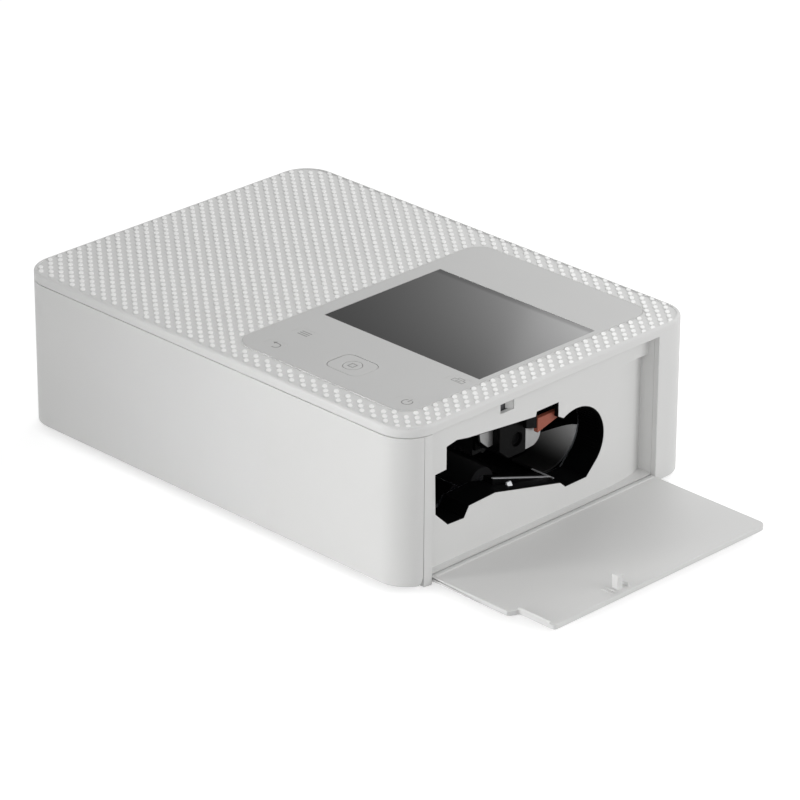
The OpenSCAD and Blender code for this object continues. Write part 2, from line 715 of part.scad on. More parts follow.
module case_screws() {
    color("silver") for (p = screw_places) union() {
        rod_z(pan_z + 0.1, pan_z + 1.2, p, screw_head_r);
        rod_z(pan_z + 1.1, base_z + 9, p, screw_r - 0.02);
    }
}

// Print mechanism

module frame_outline(y1) {
    top = under_z - 4.4;
    polygon([[-52, base_z + fit], [y1, base_z + fit], [y1, top - 13], [y1 - 12, top],
        [-44, top], [-52, top - 5]]);
}
module frame_holes(x0, x1) {
    rod_x(x0, x1, platen, platen_shaft_r + bush_wall);
    rod_x(x0, x1, capstan, capstan_journal_r + bush_wall);
    rod_x(x0, x1, pinch, pinch_journal_r + run);
    rod_x(x0, x1, pickup, pickup_shaft_r + run);
    rod_x(x0, x1, head_pivot, head_shaft_r);
    rod_x(x0, x1, tie_front, tie_r - 0.6);
    rod_x(x0, x1, tie_back, tie_r - 0.6);
}
module left_frame() {
    x0 = frame_lx - steel;
    color("silver") difference() {
        union() {
            along_x(x0, frame_lx) frame_outline(52);
            block([x0 - 5, -46, base_z + fit], [x0 + fit, -30, base_z + fit + steel]);
            // Stub axles of the two idlers
            rod_x(gear_x0 - 1, x0 + fit, idler, 1.5);
            rod_x(gear_x0 - 1, x0 + fit, pickup_idler_c, 1.5);
        }
        frame_holes(x0 - through, frame_lx + through);
        rod_x(x0 - through, frame_lx + through, spool_a, spindle_r + run);
        rod_x(x0 - through, frame_lx + through, spool_b, spindle_r + run);
    }
}
module right_frame() {
    color("silver") difference() {
        union() {
            along_x(frame_rx, frame_rx + steel) frame_outline(42);
            block([frame_rx + steel - fit, -46, base_z + fit],
                [frame_rx + steel + 5, -30, base_z + fit + steel]);
        }
        frame_holes(frame_rx - through, frame_rx + steel + through);
        along_x(frame_rx - through, frame_rx + steel + through) difference() {
            offset(r = 0.8, $fn = 32) polygon(bay_outline());
            translate(pickup - [3.2, 3.2]) square([6.4, 6.4]);
        }
    }
}
module motor_plate() {
    color("silver") difference() {
        union() {
            block([motor_plate_x - steel, -16, base_z + fit], [motor_plate_x, 52, under_z - 9.4]);
            for (p = posts) rod_x(motor_plate_x - fit, frame_lx - steel, p, post_r);
        }
        for (p = [feed_drive, ribbon_drive])
            rod_x(motor_plate_x - steel - through, motor_plate_x + through, p, 3.0);
    }
}
module tie_rods() {
    color("silver") for (p = [tie_front, tie_back]) union() {
        rod_x(frame_lx, frame_rx, p, tie_r);
        rod_x(frame_lx - steel - 0.6, frame_rx + steel + 0.6, p, tie_r - 0.6);
    }
}
module front_cradle() {
    r = spool_r - 0.4;
    color("black") along_x(frame_lx + fit, frame_rx - fit)
        polygon(ring_sector(spool_a, r, r + 1.2, 75, 312));
}
module rear_cradle() {
    color("darkgray") along_x(frame_lx + fit, frame_rx - fit)
        polygon(ring_sector(spool_b, spool_r + 0.2, spool_r + 1.2, -60, 2));
}
module paper_guide() {
    y0 = platen[0] + platen_r + 0.6;
    y1 = capstan[0] - capstan_r - 0.5;
    color("black") along_x(frame_lx + fit, frame_rx - fit)
        polygon([[y0, base_z + fit], [y1, base_z + fit], [y1, path_z - 0.5], [y0 + 7, path_z - 0.5],
            [y0, path_z + 1.6]]);
}
module head_arm() {
    drop_z = head_z + 3;
    color("silver") difference() {
        union() {
            for (x = [head_left, head_right]) along_x(x, x + steel)
                polygon(concat(arc(head_pivot, 4.5, -100, 90, 12),
                    [[head_y - head_w / 2 + 1, head_pivot[1] + 3],
                    [head_y - head_w / 2, head_pivot[1] + 1], [head_y - head_w / 2, drop_z],
                    [head_y + head_w / 2, drop_z], [head_y + head_w / 2, head_pivot[1] - 5]]));
            block([head_left, head_y - head_w / 2 + 1, head_pivot[1] + 1.8],
                [head_right + steel, head_y + head_w / 2 + 6, head_pivot[1] + 3]);
        }
        rod_x(head_left - through, head_right + steel + through, head_pivot, head_shaft_r + run);
    }
    color("silver") head_end_bracket();
}
module head_shaft() {
    color("silver") rod_x(frame_lx - steel, frame_rx + steel, head_pivot, head_shaft_r);
}
module heat_sink() {
    x0 = head_left + steel + 0.02;
    x1 = head_right - 0.02;
    y0 = head_y - head_w / 2;
    color("silver") union() {
        block([x0, y0, head_z + 2], [x1, y0 + head_w, head_z + 7]);
        for (i = [0:3]) let (y = y0 + i * (head_w - 1.2) / 3)
            block([x0, y, head_z + 7 - fit], [x1, y + 1.2, head_pivot[1] + 1.7]);
    }
}
module thermal_head() {
    x0 = head_left + steel + 0.5;
    x1 = head_right - 0.5;
    color("darkslategray") union() {
        block([x0, head_y - head_w / 2 + 0.5, head_z + 0.6],
            [x1, head_y + head_w / 2 - 0.5, head_z + 1.98]);
        rod_x(x0, x1, [head_y, head_z + 0.8], 0.8);
    }
}
// Black block on the end of the head, under the lock lever
module head_end_cap() {
    x0 = head_right + steel;
    color("black") difference() {
        union() {
            along_x(x0, cap_x1) polygon([[cap_y[0] + 4, cap_z[0]], [cap_y[1], cap_z[0]],
                [cap_y[1], cap_z[1]], [cap_y[0], cap_z[1]], [cap_y[0], cap_z[0] + 3.5]]);
            rod_x(x0, cap_x1 - 4, [cap_y[1] - 2, cap_z[0] - 1.8], 1.2);
            block([x0, cap_y[1] - 3.2, cap_z[0] - 1.8], [cap_x1 - 4, cap_y[1] - 0.8, cap_z[0] + fit]);
        }
        rod_x(cap_x1 - 1.6, cap_x1 + through, [cap_y[1] - 4, cap_z[0] + 5.4], 2.4);
    }
}
// Extension of the head's frame round the end block
module head_end_bracket() {
    union() {
        // Tab behind the block, with a round corner
        along_x(cap_x1 - tab_t, cap_x1) polygon(concat(
            [[cap_y[1] + 0.02, cap_z[1] - 1.4], [cap_y[1] + 0.02, cap_z[0] + 0.6],
            [cap_y[1] + 1.2, cap_z[0] + 0.6]],
            arc([cap_y[1] + 2.2, cap_z[0] + 5.4], 4.8, -70, 20, 8),
            [[cap_y[1] + 6.6, cap_z[1] - 4.6]]));
        block([head_right + steel, cap_y[1] + 0.02, cap_z[0] + 1],
            [cap_x1 - tab_t + fit, cap_y[1] + 0.02 + tab_t, cap_z[1] - 1.6]);
        // Tab in front of the block
        along_x(cap_x1 - 3 - tab_t, cap_x1 - 3) polygon([[cap_y[0] - 0.02, cap_z[0] + 5.0],
            [cap_y[0] - 0.02, cap_z[1] + 0.6], [cap_y[0] - 6.4, cap_z[1] + 0.6],
            [cap_y[0] - 5.6, cap_z[0] + 8.0], [cap_y[0] - 2.2, cap_z[0] + 5.0]]);
        block([head_right + steel, cap_y[0] - 0.02 - tab_t, cap_z[0] + 5.2],
            [cap_x1 - 3 - tab_t + fit, cap_y[0] - 0.02, cap_z[1] + 0.4]);
        // Strap over the block that joins the two sides
        block([head_right + steel, cap_y[0] - 0.02 - tab_t, cap_z[1] + 0.02],
            [cap_x1 - 6, cap_y[1] + 0.02 + tab_t, cap_z[1] + 0.02 + tab_t]);
        block([head_right + steel, cap_y[1] + 0.02, cap_z[1] - 2],
            [cap_x1 - 6, cap_y[1] + 0.02 + tab_t, cap_z[1] + 0.02 + tab_t]);
    }
}
module platen_roller() {
    color("dimgray") difference() {
        rod_x(mech_x - platen_l / 2, mech_x + platen_l / 2, platen, platen_r);
        rod_x(mech_x - platen_l, mech_x + platen_l, platen, platen_shaft_r);
    }
}
module platen_shaft() {
    color("silver") rod_x(frame_lx - steel - 1, frame_rx + steel + 0.6, platen, platen_shaft_r);
}
module roller_bushes() {
    color("ivory") for (x = [frame_lx - steel, frame_rx - 0.8]) {
        bush(x, platen, platen_shaft_r);
        bush(x, capstan, capstan_journal_r);
    }
}
module bush(x, at, r) {
    difference() {
        rod_x(x, x + steel + 0.8, at, r + bush_wall - 0.02);
        rod_x(x - through, x + steel + 0.8 + through, at, r + run);
    }
}
module capstan_roller() {
    color("silver") union() {
        rod_x(frame_lx + 2, frame_rx - 2, capstan, capstan_r);
        rod_x(gear_x0, frame_rx + steel, capstan, capstan_journal_r);
    }
}
module toothed_wheel(at, teeth, phase, bore) {
    along_x(gear_x0, gear_x0 + gear_t) translate(at) difference() {
        polygon(gear_points(teeth, phase));
        circle(r = bore);
    }
}
module capstan_gear() {
    color("ivory") toothed_wheel(capstan, capstan_teeth, 0, capstan_journal_r);
}
module pinch_roller() {
    color("silver") union() {
        rod_x(frame_lx + 2, frame_rx - 2, pinch, capstan_r - fit);
        rod_x(frame_lx - steel, frame_rx + steel, pinch, pinch_journal_r);
    }
}
module pickup_roller() {
    color("dimgray") for (x = [mech_x - 26, mech_x + 6]) difference() {
        rod_x(x, x + 20, pickup, pickup_r);
        rod_x(x - through, x + 20 + through, pickup, pickup_shaft_r);
    }
}
module pickup_shaft() {
    color("silver") rod_x(gear_x0, frame_rx + steel, pickup, pickup_shaft_r);
}
module pickup_gear() {
    color("ivory") toothed_wheel(pickup, pickup_teeth, pickup_phase, pickup_shaft_r);
}
// Drive spindle with three dogs that turn a spool
module spindle(at, x0) {
    rod_x(x0, frame_lx + 2.0, at, spindle_r);
    rod_x(frame_lx + 1.9, frame_lx + 4.0, at, 6.5);
    rod_x(frame_lx + 3.9, frame_lx + 11.0, at, 3.0);
    for (a = [0, 120, 240]) translate([frame_lx + 3.9, at[0], at[1]]) rotate([a, 0, 0])
        translate([0, 2.5, -0.7]) cube([5.0, 2.6, 1.4]);
}
module take_up_spindle() { color("ivory") union() spindle(spool_b, gear_x0); }
module supply_spindle() { color("ivory") union() spindle(spool_a, frame_lx - steel - 1.5); }
module take_up_gear() { color("ivory") toothed_wheel(spool_b, take_up_teeth, 0, spindle_r); }
module motor(at, r) {
    x1 = motor_plate_x - steel;
    difference() {
        union() {
            rod_x(x1 - motor_l, x1, at, r);
            rod_x(x1 - fit, x1 + steel, at, 2.9);
        }
        rod_x(x1 - motor_l / 2, x1 + 2 * steel, at, motor_shaft_r + run);
    }
}
module drive_pinion(at, phase) {
    union() {
        toothed_wheel(at, pinion_teeth, phase, motor_shaft_r / 2);
        rod_x(motor_plate_x - steel - motor_l / 2 + 0.5, gear_x0 + gear_t, at, motor_shaft_r);
    }
}
module feed_motor() { color("gray") motor(feed_drive, motor_r); }
module feed_pinion() { color("goldenrod") drive_pinion(feed_drive, feed_phase); }
module idler_gear() {
    color("ivory") toothed_wheel(idler, idler_teeth, idler_phase, 1.5 + run);
}
module ribbon_motor() { color("gray") motor(ribbon_drive, ribbon_motor_r); }
module ribbon_pinion() { color("goldenrod") drive_pinion(ribbon_drive, ribbon_phase); }
module pickup_idler() {
    color("ivory") toothed_wheel(pickup_idler_c, pickup_idler_teeth, pickup_idler_phase, 1.5 + run);
}

// Electronics at the back

module main_board() {
    color("darkgreen") difference() {
        block([board_x0, board_y, board_z0], [board_x1, board_y + 1.6 - 0.02, board_z1]);
        for (p = board_posts) rod_y(board_y - through, board_y + 2, p, 1.0);
    }
}
module dc_jack() {
    y0 = board_y + 1.6;
    color("black") difference() {
        union() {
            block([jack_at[0] - 4.5, y0, jack_at[1] - 5.5],
                [jack_at[0] + 4.5, side_y - wall - 0.2, jack_at[1] + 5.5]);
            rod_y(y0, side_y - 0.3, jack_at, jack_r + 1.0);
        }
        rod_y(y0 + 0.8, side_y + through, jack_at, jack_r);
        rod_y(y0 - through, y0 + 1, jack_at, 0.8);
    }
    color("silver") rod_y(y0 + 0.4, side_y - 1.4, jack_at, 0.8);
}
module socket_shell(at, half_w, half_h, depth) {
    difference() {
        block([at[0] - half_w, side_y - depth, at[1] - half_h],
            [at[0] + half_w, side_y - 0.3, at[1] + half_h]);
        block([at[0] - half_w + 0.4, side_y - depth + 0.6, at[1] - half_h + 0.4],
            [at[0] + half_w - 0.4, side_y + through, at[1] + half_h - 0.4]);
    }
}
module usb_port() {
    depth = wall + 4.5 - 1.6;
    color("silver") union() {
        socket_shell(usb_at, 6.7, 2.9, depth);
        block([usb_at[0] - 5.2, side_y - depth + 0.5, usb_at[1] + 0.2],
            [usb_at[0] + 5.2, side_y - 1.2, usb_at[1] + 1.8]);
    }
}
module card_slot() {
    color("silver") socket_shell(card_at, 12.4, 1.3, wall + 4.5 - 1.6);
}

lower_housing();
upper_housing();
front_cover();
front_hinge_pins();
tray_frame();
bay_frame();
side_cover();
side_hinge_pins();
cover_switch();
control_panel();
screen_window();
lcd_module();
menu_key();
back_key();
print_key();
power_key();
four_way_key();
pad_carrier();
ok_key();
key_board();
flat_cable();
rubber_feet();
case_screws();
left_frame();
right_frame();
motor_plate();
tie_rods();
cassette_liner();
front_cradle();
rear_cradle();
paper_guide();
lock_lever();
lock_spring();
head_arm();
head_shaft();
heat_sink();
thermal_head();
head_end_cap();
platen_roller();
platen_shaft();
roller_bushes();
capstan_roller();
capstan_gear();
pinch_roller();
pickup_roller();
pickup_shaft();
pickup_gear();
take_up_spindle();
supply_spindle();
take_up_gear();
feed_motor();
feed_pinion();
idler_gear();
ribbon_motor();
ribbon_pinion();
pickup_idler();
main_board();
dc_jack();
usb_port();
card_slot();
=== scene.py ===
# Looks of a compact photo printer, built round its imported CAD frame, in metres.
import math

import bmesh
import bpy
from mathutils import Matrix, Vector


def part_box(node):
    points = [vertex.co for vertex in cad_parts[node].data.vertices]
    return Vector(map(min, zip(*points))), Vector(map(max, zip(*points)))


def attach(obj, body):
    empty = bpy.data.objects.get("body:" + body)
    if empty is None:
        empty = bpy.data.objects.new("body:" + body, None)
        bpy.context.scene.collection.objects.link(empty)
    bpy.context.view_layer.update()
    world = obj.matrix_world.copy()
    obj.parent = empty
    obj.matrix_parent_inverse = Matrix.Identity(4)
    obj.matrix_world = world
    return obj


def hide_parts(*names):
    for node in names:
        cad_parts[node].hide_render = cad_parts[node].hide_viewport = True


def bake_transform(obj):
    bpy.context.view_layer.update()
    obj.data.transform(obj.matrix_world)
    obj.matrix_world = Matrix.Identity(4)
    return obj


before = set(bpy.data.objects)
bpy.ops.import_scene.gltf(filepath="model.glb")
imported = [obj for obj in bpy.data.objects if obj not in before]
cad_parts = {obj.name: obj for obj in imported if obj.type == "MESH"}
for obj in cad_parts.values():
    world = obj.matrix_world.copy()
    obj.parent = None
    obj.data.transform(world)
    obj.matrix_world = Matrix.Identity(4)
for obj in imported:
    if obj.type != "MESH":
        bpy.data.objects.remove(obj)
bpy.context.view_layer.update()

MM = 0.001
scene = bpy.context.scene
scene.view_settings.view_transform = "Standard"


def colour(code):
    """An sRGB hex value as linear RGBA."""
    parts = [int(code[i:i + 2], 16) / 255 for i in (1, 3, 5)]
    return (*[c / 12.92 if c <= 0.04045 else ((c + 0.055) / 1.055) ** 2.4 for c in parts], 1)


def add(tree, kind, inputs=(), **settings):
    """Adds a node with its settings. inputs maps a socket to a value or to another output."""
    node = tree.nodes.new(kind)
    for name, value in settings.items():
        setattr(node, name, value)
    for socket, value in dict(inputs).items():
        if isinstance(value, bpy.types.NodeSocket):
            tree.links.new(value, node.inputs[socket])
        else:
            node.inputs[socket].default_value = value
    return node


def started(name):
    """A new material with an empty node tree."""
    made = bpy.data.materials.new(name)
    made.use_nodes = True
    made.node_tree.nodes.clear()
    return made, made.node_tree


def seen_by_eye(tree):
    """1 for a ray from the camera, also after a shiny or clear surface, and 0 for others."""
    path = add(tree, "ShaderNodeLightPath").outputs
    seen = add(tree, "ShaderNodeMath", {0: path["Is Camera Ray"], 1: path["Is Glossy Ray"]},
               operation="MAXIMUM")
    seen = add(tree, "ShaderNodeMath", {0: seen.outputs[0], 1: path["Is Transmission Ray"]},
               operation="MAXIMUM")
    return seen.outputs[0]


# Camera: where it looks from, how far away it is, and the point that it looks at
azimuth, elevation, roll = (math.radians(a) for a in (44.916, 25.076, 0.313))
distance = 1472.3 * MM
aim = Vector((10.894, 10.861, 17.477)) * MM
ground = math.cos(elevation)
away = Vector((math.sin(azimuth) * ground, -math.cos(azimuth) * ground, math.sin(elevation)))
level = Vector((math.cos(azimuth), math.sin(azimuth), 0))
upright = away.cross(level)
right = level * math.cos(roll) + upright * math.sin(roll)
above = upright * math.cos(roll) - level * math.sin(roll)
camera = bpy.data.objects.new("camera", bpy.data.cameras.new("camera"))
camera.data.lens = 199.02
camera.data.sensor_width = 36
camera.data.clip_start, camera.data.clip_end = 0.05, 50
camera.matrix_world = Matrix.Translation(aim + away * distance) @ Matrix(
    (right, above, away)).transposed().to_4x4()
scene.collection.objects.link(camera)
scene.camera = camera

# White room: the eye sees it white, but it lights the printer less than that, so that the
# lamps give the printer its shape
room_light = 0.38
world = bpy.data.worlds.new("white_room")
world.use_nodes = True
scene.world = world
tree = world.node_tree
tree.nodes.clear()
seen = seen_by_eye(tree)
dim = add(tree, "ShaderNodeBackground", {"Color": colour("#FFFFFF"), "Strength": room_light})
white = add(tree, "ShaderNodeBackground", {"Color": colour("#FFFFFF"), "Strength": 1.0})
mix = add(tree, "ShaderNodeMixShader", {0: seen, 1: dim.outputs[0], 2: white.outputs[0]})
add(tree, "ShaderNodeOutputWorld", {"Surface": mix.outputs[0]})

# Softboxes: a weak one on the left with a grid, which favours the front's right end, two
# broad ones on the right for the open bay, and one over the rear for the top. Each has its
# place and its target in mm, its size in mm, its watts and its spread in degrees.
for name, spot, target, size, power, spread in (
        ("softbox_left", (-350, -800, 150), (120, -66, 28), 200, 0.14, 30),
        ("softbox_right", (700, 340, 300), (60, 20, 20), 400, 1.85, 180),
        ("softbox_front", (700, -700, 450), (60, -20, 20), 600, 1.8, 180),
        ("softbox_over", (-60, 330, 380), (20, 20, 57), 400, 0.76, 180)):
    lamp = bpy.data.objects.new(name, bpy.data.lights.new(name, "AREA"))
    lamp.data.size = size * MM
    lamp.data.energy = power
    lamp.data.spread = math.radians(spread)
    lamp.location = Vector(spot) * MM
    lamp.rotation_euler = (Vector(target) - Vector(spot)).to_track_quat("-Z", "Y").to_euler()
    scene.collection.objects.link(lamp)

# Table: a plain square, so large that its edges stay out of sight
half = 4.0
table = bpy.data.meshes.new("table")
table.from_pydata([(-half, -half, 0), (half, -half, 0), (half, half, 0), (-half, half, 0)], [],
                  [(0, 1, 2, 3)])
table = bpy.data.objects.new("table", table)
scene.collection.objects.link(table)
# Matt white lacquer: it shows the printer's shadow faintly, and a glow that only the eye
# sees makes the rest of it read as white
table_glow = 0.64
lacquer, tree = started("table_matt_white_lacquer")
seen = seen_by_eye(tree)
matt = add(tree, "ShaderNodeBsdfDiffuse", {"Color": colour("#DCDCDC")})
lift = add(tree, "ShaderNodeMath", {0: seen, 1: table_glow}, operation="MULTIPLY")
glow = add(tree, "ShaderNodeEmission", {"Strength": lift.outputs[0]})
both = add(tree, "ShaderNodeAddShader", {0: matt.outputs[0], 1: glow.outputs[0]})
add(tree, "ShaderNodeOutputMaterial", {"Surface": both.outputs[0]})
table.data.materials.append(lacquer)

# Floor pan: the lower housing that everything is screwed to, with vents under the print
# path and the ears of the front hinge. Injection moulded ABS in pale grey.


def moulded(name, pale, deep, roughness, grain=0.5, depth=0.006, **shine):
    """A moulded plastic: a faint cloudiness in the colour and the grain of the eroded mould.
    The real grain is about 0.1 mm and is drawn coarser, so that it shows."""
    made, tree = started(name)
    place = add(tree, "ShaderNodeTexCoord").outputs["Object"]
    cloud = add(tree, "ShaderNodeTexNoise", {"Vector": place, "Scale": 1 / (26 * MM),
                                             "Detail": 2.0, "Roughness": 0.4})
    tone = add(tree, "ShaderNodeMix", {0: cloud.outputs[0], 6: colour(deep), 7: colour(pale)},
               data_type="RGBA")
    grit = add(tree, "ShaderNodeTexNoise", {"Vector": place, "Scale": 1 / (grain * MM),
                                            "Detail": 1.0})
    gloss = add(tree, "ShaderNodeMapRange", {0: grit.outputs[0], 1: 0.3, 2: 0.7,
                                             3: roughness - 0.04, 4: roughness + 0.04})
    bump = add(tree, "ShaderNodeBump", {"Height": grit.outputs[0], "Strength": 0.4,
                                        "Distance": depth * MM})
    skin = add(tree, "ShaderNodeBsdfPrincipled", {
        "Base Color": tone.outputs[2], "Roughness": gloss.outputs[0],
        "Normal": bump.outputs[0], "IOR": 1.5})
    for socket, value in shine.items():
        skin.inputs[socket.replace("_", " ")].default_value = value
    add(tree, "ShaderNodeOutputMaterial", {"Surface": skin.outputs[0]})
    return made


def dress(material, *nodes):
    """Gives CAD nodes that stay as they are their finish."""
    for node in nodes:
        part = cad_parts[node]
        if not part.material_slots:
            part.data.materials.append(material)
        for place in part.material_slots:
            place.material = material


def merged(node):
    """A copy of a CAD node's mesh, with its loose triangles joined into whole faces."""
    bm = bmesh.new()
    bm.from_mesh(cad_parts[node].data)
    bmesh.ops.remove_doubles(bm, verts=bm.verts, dist=0.002 * MM)
    bmesh.ops.dissolve_limit(bm, angle_limit=math.radians(0.4), verts=bm.verts, edges=bm.edges)
    return bm


def settled(thing):
    """The mesh of an object with its modifiers applied."""
    return bpy.data.meshes.new_from_object(thing.evaluated_get(
        bpy.context.evaluated_depsgraph_get()))


def fitted(name, bm, material, body, nodes=(), round_off=(), corner=30):
    """Makes a finished piece of a bmesh. round_off lists (width in mm, test of an edge's
    two ends in mm), and the sharp edges that pass are rounded with a bevel. An edge that
    turns by more than corner degrees is sharp. Without a body, the piece is attached to none."""
    mesh = bpy.data.meshes.new(name)
    turn = math.radians(corner)
    for width, test in round_off:
        weights = bm.edges.layers.float.get("bevel_weight_edge")
        weights = weights or bm.edges.layers.float.new("bevel_weight_edge")
        for edge in bm.edges:
            sharp = len(edge.link_faces) == 2 and edge.calc_face_angle() > turn
            edge[weights] = 1.0 if sharp and test(*[v.co / MM for v in edge.verts]) else 0.0
        bm.to_mesh(mesh)
        trial = bpy.data.objects.new(name, mesh)
        scene.collection.objects.link(trial)
        bevel = trial.modifiers.new("round", "BEVEL")
        bevel.limit_method = "WEIGHT"
        bevel.width = width * MM
        bevel.segments = 5 if width > 0.6 else 3
        bevel.use_clamp_overlap = False
        made = settled(trial)
        bpy.data.objects.remove(trial)
        bm.clear()
        bm.from_mesh(made)
        bpy.data.meshes.remove(made)
    for face in bm.faces:
        face.smooth = True
    for edge in bm.edges:
        edge.smooth = len(edge.link_faces) == 2 and edge.calc_face_angle() < turn
    bm.to_mesh(mesh)
    bm.free()
    thing = bpy.data.objects.new(name, mesh)
    scene.collection.objects.link(thing)
    if round_off:
        # Broad faces keep their own direction, and only the rounded edges shade softly
        weigh = thing.modifiers.new("weigh", "WEIGHTED_NORMAL")
        weigh.keep_sharp = True
        even = settled(thing)
        thing.modifiers.clear()
        thing.data = even
    thing.data.materials.clear()
    thing.data.materials.append(material)
    if body:
        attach(thing, body)
    if nodes:
        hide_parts(*nodes)
    return thing


# Spark-eroded ABS in pale grey: a dry, even surface that never mirrors anything
pale_abs = moulded("abs_pale_grey_eroded", "#CFCFCE", "#CACAC9", 0.55)
# The hinge ears clear the open front cover, which lies level with them
ear_x, ear_y, ear_z, ear_lift = (74, 80), -58.9, 2.8, 0.1
bm = merged("lower_housing")
for v in bm.verts:
    x, y, z = v.co / MM
    if abs(z - ear_z) < 0.02 and y < ear_y and ear_x[0] < abs(x) < ear_x[1]:
        v.co.z += ear_lift * MM
under_z = 2.1
fitted("floor_pan", bm, pale_abs, "case",
       ["lower_housing"], [(0.3, lambda a, b: max(a.z, b.z) < under_z)])

# Feet and case screws: four moulded rubber pads glued into the floor pan, and four
# self-tapping screws of zinc-plated steel that hold the upper shell to it.
# Moulded black rubber: dull, dusty and without any mirror image
foot_rubber = moulded("nitrile_rubber_moulded", "#242425", "#191919", 0.8, grain=0.9,
                      depth=0.02, Specular_IOR_Level=0.3)
dress(foot_rubber, "rubber_feet")


def plated(name, pale, deep, roughness, spangle=6.0, stretch=(1, 1, 1), depth=0.004):
    """A bare or plated metal: patches of slightly different grey and roughness. stretch
    draws them out along the way that it was brushed, turned or ground."""
    made, tree = started(name)
    place = add(tree, "ShaderNodeTexCoord").outputs["Object"]
    place = add(tree, "ShaderNodeMapping", {0: place, 3: stretch}).outputs[0]
    patch = add(tree, "ShaderNodeTexNoise", {"Vector": place, "Scale": 1 / (spangle * MM),
                                             "Detail": 3.0, "Roughness": 0.6})
    tone = add(tree, "ShaderNodeMix", {0: patch.outputs[0], 6: colour(deep), 7: colour(pale)},
               data_type="RGBA")
    gloss = add(tree, "ShaderNodeMapRange", {0: patch.outputs[0], 1: 0.3, 2: 0.7,
                                             3: roughness - 0.07, 4: roughness + 0.07})
    bump = add(tree, "ShaderNodeBump", {"Height": patch.outputs[0], "Strength": 0.3,
                                        "Distance": depth * MM})
    skin = add(tree, "ShaderNodeBsdfPrincipled", {
        "Base Color": tone.outputs[2], "Roughness": gloss.outputs[0], "Metallic": 1.0,
        "Normal": bump.outputs[0]})
    add(tree, "ShaderNodeOutputMaterial", {"Surface": skin.outputs[0]})
    return made


# Bright zinc on small turned parts: a clear grey shine with faint rings
pin_steel = plated("steel_turned_zinc_plated", "#C3C5C8", "#9DA0A4", 0.26, spangle=0.8)
dress(pin_steel, "case_screws")

# Print mechanism frame: two folded side plates, the motor plate and two tie rods, pressed
# from galvanised sheet and screwed together before they go into the floor pan.
# Galvanised sheet: dull grey with the cloudy spangle of the zinc
sheet_steel = plated("steel_galvanised_sheet", "#A4A7AA", "#83878B", 0.42, spangle=5.0)
dress(sheet_steel, "left_frame", "right_frame", "motor_plate")
dress(pin_steel, "tie_rods")

# Platen and transport rollers: ground EPDM rubber on the platen and the pick-up roller,
# and blasted steel on the capstan and its pinch roller, all in acetal bushes.
# Ground rubber: nearly black and matt, with fine grinding rings round the roller
ground_rubber = moulded("epdm_rubber_ground", "#18181A", "#121213", 0.72, grain=0.4,
                        depth=0.02, Specular_IOR_Level=0.25)
# Ground and blasted shaft steel: an even silvery grey
ground_steel = plated("steel_ground_blasted", "#B4B6B9", "#96999D", 0.34, spangle=0.5,
                      stretch=(4, 1, 1))
# Natural acetal: milky white with a soft waxy shine
acetal = moulded("pom_natural_moulded", "#E9E8E3", "#E1E0DA", 0.34, grain=1.5, depth=0.01)
dress(ground_rubber, "platen_roller", "pickup_roller")
dress(ground_steel, "platen_shaft", "pickup_shaft", "capstan_roller", "pinch_roller")
dress(acetal, "roller_bushes")

# Gear train and ribbon spindles: moulded acetal wheels on the left plate, driven by two
# small motors through pressed-on brass pinions.
# Drawn and nickel-plated motor cans: smooth and a little yellow
motor_can = plated("steel_drawn_nickel_plated", "#AFAEA9", "#8F8E8A", 0.3, spangle=9.0,
                   stretch=(0.4, 1, 1))
# Machined brass: warm yellow, with fine cutting marks along each tooth
brass = plated("brass_machined", "#D0AC5C", "#A9853A", 0.26, spangle=0.5, stretch=(0.2, 1, 1))
dress(acetal, "capstan_gear", "pickup_gear", "take_up_spindle", "supply_spindle",
      "take_up_gear", "idler_gear", "pickup_idler")
dress(motor_can, "feed_motor", "ribbon_motor")
dress(brass, "feed_pinion", "ribbon_pinion")

# Print head: a folded steel arm on its shaft carries an aluminium heat sink and the
# ceramic head that presses on the platen. A black moulded cap closes its right end.
# Extruded aluminium, anodised black: dull, with the faint lines of the die
heat_black = moulded("aluminium_black_anodised", "#151516", "#0E0E0F", 0.5, grain=0.8,
                     Specular_IOR_Level=0.2)
# Alumina under a dark glaze: nearly black, and smooth where the paper runs over it
ceramic = moulded("alumina_dark_glazed", "#121213", "#0C0C0D", 0.3, grain=0.8, depth=0.002,
                  Specular_IOR_Level=0.2)
# Black ABS from a polished mould: it stays black inside the dark bay
black_abs = moulded("abs_black_moulded", "#070708", "#040404", 0.45, grain=0.6,
                    Specular_IOR_Level=0.06)
dress(pin_steel, "head_shaft")
dress(heat_black, "heat_sink")
dress(ceramic, "thermal_head")


def any_edge(a, b):
    return True


def boxed(lo, hi):
    """A test for edges that lie wholly in a box, in mm."""
    return lambda a, b: all(lo[i] <= p[i] <= hi[i] for p in (a, b) for i in range(3))


# Blasted stainless sheet: an even light grey at the arm's end, and painted shade further
# in, where its colour turns nearly black, with the edge between the two values of shade_edge_x
shade_edge_x = (73.0, 74.0)
shaded_sheet = plated("steel_stainless_blasted_painted_shade", "#A9A9A9", "#979797", 0.45, spangle=1.2)
tree = shaded_sheet.node_tree
skin = tree.nodes["Principled BSDF"]
tone = skin.inputs["Base Color"].links[0].from_socket
place = tree.nodes["Texture Coordinate"].outputs["Object"]
axes = add(tree, "ShaderNodeSeparateXYZ", {0: place})
shade_in = add(tree, "ShaderNodeMapRange", {0: axes.outputs[0], 1: shade_edge_x[0] * MM,
                                        2: shade_edge_x[1] * MM})
tone = add(tree, "ShaderNodeMix", {0: shade_in.outputs[0], 6: colour("#0C0C0C"), 7: tone},
           data_type="RGBA")
tree.links.new(tone.outputs[2], skin.inputs["Base Color"])
fitted("head_bracket", merged("head_arm"), shaded_sheet, "head_body",
       ["head_arm"], [(0.12, boxed((66, -30, 20), (83, 40, 60)))])
fitted("head_cap", merged("head_end_cap"), black_abs, "head_body",
       ["head_end_cap"], [(0.3, any_edge)])

